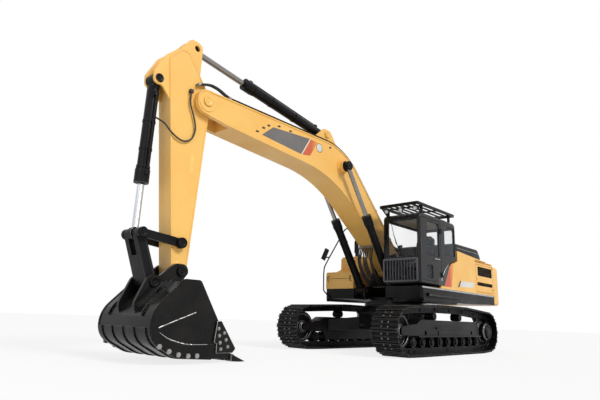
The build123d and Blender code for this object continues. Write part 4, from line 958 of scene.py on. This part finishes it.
# %% Lamps and handles
LAMP = 0.055  # radius of a work lamp, which the profiles below are shares of
HOUSING = [(-0.05, 0.45), (-0.045, 0.7), (-0.01, 0.98), (0.02, 1), (0.026, 0.95), (0.026, 0.86),
           (0.018, 0.84)]
PANE = [(0.008, 0.8), (0.017, 0.84), (0.021, 0.6), (0.023, 0.3), (0.0235, 0.002 / LAMP)]


def lamp_parts(place):
    """The housing, lens and stalk of a round work lamp that looks forward and a little down."""
    house, lens = (turned([(high, LAMP * share) for high, share in rows], 28) for rows in (HOUSING, PANE))
    stalk = turned([(0, 0.01), (0.09, 0.01)], 12)
    return [stood(part, place, facing)
            for part, facing in ((house, (0, -1, -0.2)), (lens, (0, -1, -0.2)), (stalk, (0, 0.2, 1)))]


LENS = paint("lamp_lens", rgb(222, 224, 226), rgb(204, 207, 210), 0.12, dust=0.05, scratch=0.02, coat=0.5)
RED_LENS = paint("red_lens", rgb(150, 24, 20), rgb(134, 20, 18), 0.15, dust=0.08, scratch=0.02, coat=0.4)
guard_front = BOXES["cab_guard"][0][1]
lamps = [lamp_parts((x, guard_front + 0.04, 3.10)) for x in (1.46, 0.74, 1.10)]
add("lamp_housings", joined([part for lamp in lamps for part in lamp[::2]]), BLACK, "house")
add("lamp_lenses", joined([lamp[1] for lamp in lamps]), LENS, "house")

tail = BOXES["counterweight"][1][1]
lens = slab(0.20, 0.07, 0.015, [(0, 0), (0.022, 0), (0.03, 0.006)], (1.05, tail - 0.085, 1.81), (0, 1, 0),
            (-1, 0, 0))
add("tail_lenses", both(lens), RED_LENS, "house")

box_front = BOXES["tool_box"][0][1]
GRIP = [(-0.004, 1.64), (0.03, 1.65), (0.034, 1.70), (0.03, 1.75), (-0.004, 1.76)]  # how proud, how high
grips = [rod([(x, box_front - proud, z) for proud, z in GRIP], 0.009) for x in (-1.40, -0.70)]
seam = stood(prism([(-1.40, 1.697), (-0.70, 1.697), (-0.70, 1.703), (-1.40, 1.703)],
                   [(-0.002, 0), (0.001, 0), (0.0015, 0.0005)]), (0, box_front, 0), (0, -1, 0))
add("tool_box_grips", joined([*grips, seam]), BLACK, "house")

DOOR_SKIN = 1.487  # outer face of the door, less what the pull's ends sink in
PULL = [(0, -0.70, 2.072), (0.03, -0.69, 2.074), (0.036, -0.59, 2.078), (0.03, -0.50, 2.082),
        (0, -0.49, 2.084)]
pull = rod([(DOOR_SKIN + proud, y, z) for proud, y, z in PULL], 0.010)
add("door_pull", pull, SILVER_FILM, "cab_door")
pane = BOXES["cab_glass"][0][1]
wiper = joined([
    rod([(1.05, pane - 0.012, 2.06), (0.93, pane - 0.022, 2.35), (0.83, pane - 0.018, 2.62)], 0.007),
    rod([(0.90, pane - 0.012, 2.36), (0.83, pane - 0.014, 2.62), (0.775, pane - 0.012, 2.86)], 0.006),
    stood(turned([(0, 0.024), (0.016, 0.022), (0.022, 0.014)], 20), (1.05, pane, 2.06), (0, -1, 0)),
])
add("wiper", wiper, BLACK, "house")
hood_side, _, hood_top = BOXES["hood"][1]
# a thin silver strip on the hood's side under its top: a painted highlight along that edge
line = [(1.10, 0.117), (2.50, 0.127), (2.50, 0.119), (1.10, 0.109)]  # with the depth under the top
add("hood_line", film([(y, hood_top - deep) for y, deep in line], hood_side), SILVER_FILM, "hood")
# a silver rod along the slanted edge of the black front panel: a painted highlight along that edge
edge = [(-0.40, 1.62), (-0.35, 1.70), (-0.22, 1.86), (-0.06, 1.99), (-0.02, 2.02)]
add("panel_edge", rod(at_x(1.494, edge), 0.007), SILVER_FILM, "house")

# %% [markdown]
# ## Weld seams, cutter bolts and step treads
# Where two plates of the bucket meet, the weld leaves a low, rippled bead. A thin tube whose radius swells
# and shrinks along its run gives that, half sunk into the plate. Copies of one bolt and of one bar do the
# rest.


# %% Weld beads
def bead(points, radius):
    """A tube whose radius ripples: radius (1 + 0.18 sin(one turn every 15 mm))."""
    path = smooth(points, 40)
    run = np.concatenate([[0], np.linalg.norm(np.diff(path, axis=0), axis=1).cumsum()])
    return tube(path, radius * (1 + 0.18 * np.sin(run * 2 * pi / 0.015)), 8)


BUCKET_SIDE = 0.716  # outer face of the bucket's side plate
UPPER = [(-7.09, 0.49), (-6.80, 0.60), (-6.50, 0.71)]
LOWER = [(-7.067, 0.427), (-6.958, 0.367), (-6.853, 0.328), (-6.60, 0.272), (-6.26, 0.264)]
seams = joined([bead(at_x(BUCKET_SIDE, UPPER), 0.009), bead(at_x(BUCKET_SIDE, LOWER), 0.008)])
add("bucket_beads", both(seams), STEEL_EDGE, "bucket")
cutter = BOXES["side_cutters"][1][0]
holes = [(-6.09, 0.49), (-6.07, 0.39), (-6.05, 0.29), (-6.03, 0.20), (-5.98, 0.43), (-5.94, 0.33),
         (-5.90, 0.23)]
heads = copies(bolt(0.020), at_x(cutter - 0.002, holes), (1, 0, 0), (0, 1, 0))
add("cutter_bolts", both(heads), STEEL_EDGE, "bucket")
tread = prism(rounded(0.010, 0.046, 0.003, 2), [(0, 0), (0.050, 0), (0.053, 0.002)])
treads = [on_side(tread, 1.492, y, 1.270) for y in np.linspace(-1.05, 0.51, 27)]
add("step_treads", joined(treads), STEEL_EDGE, "house")
print("beads, cutter bolts:", len(holes) * 2, "step treads:", len(treads))
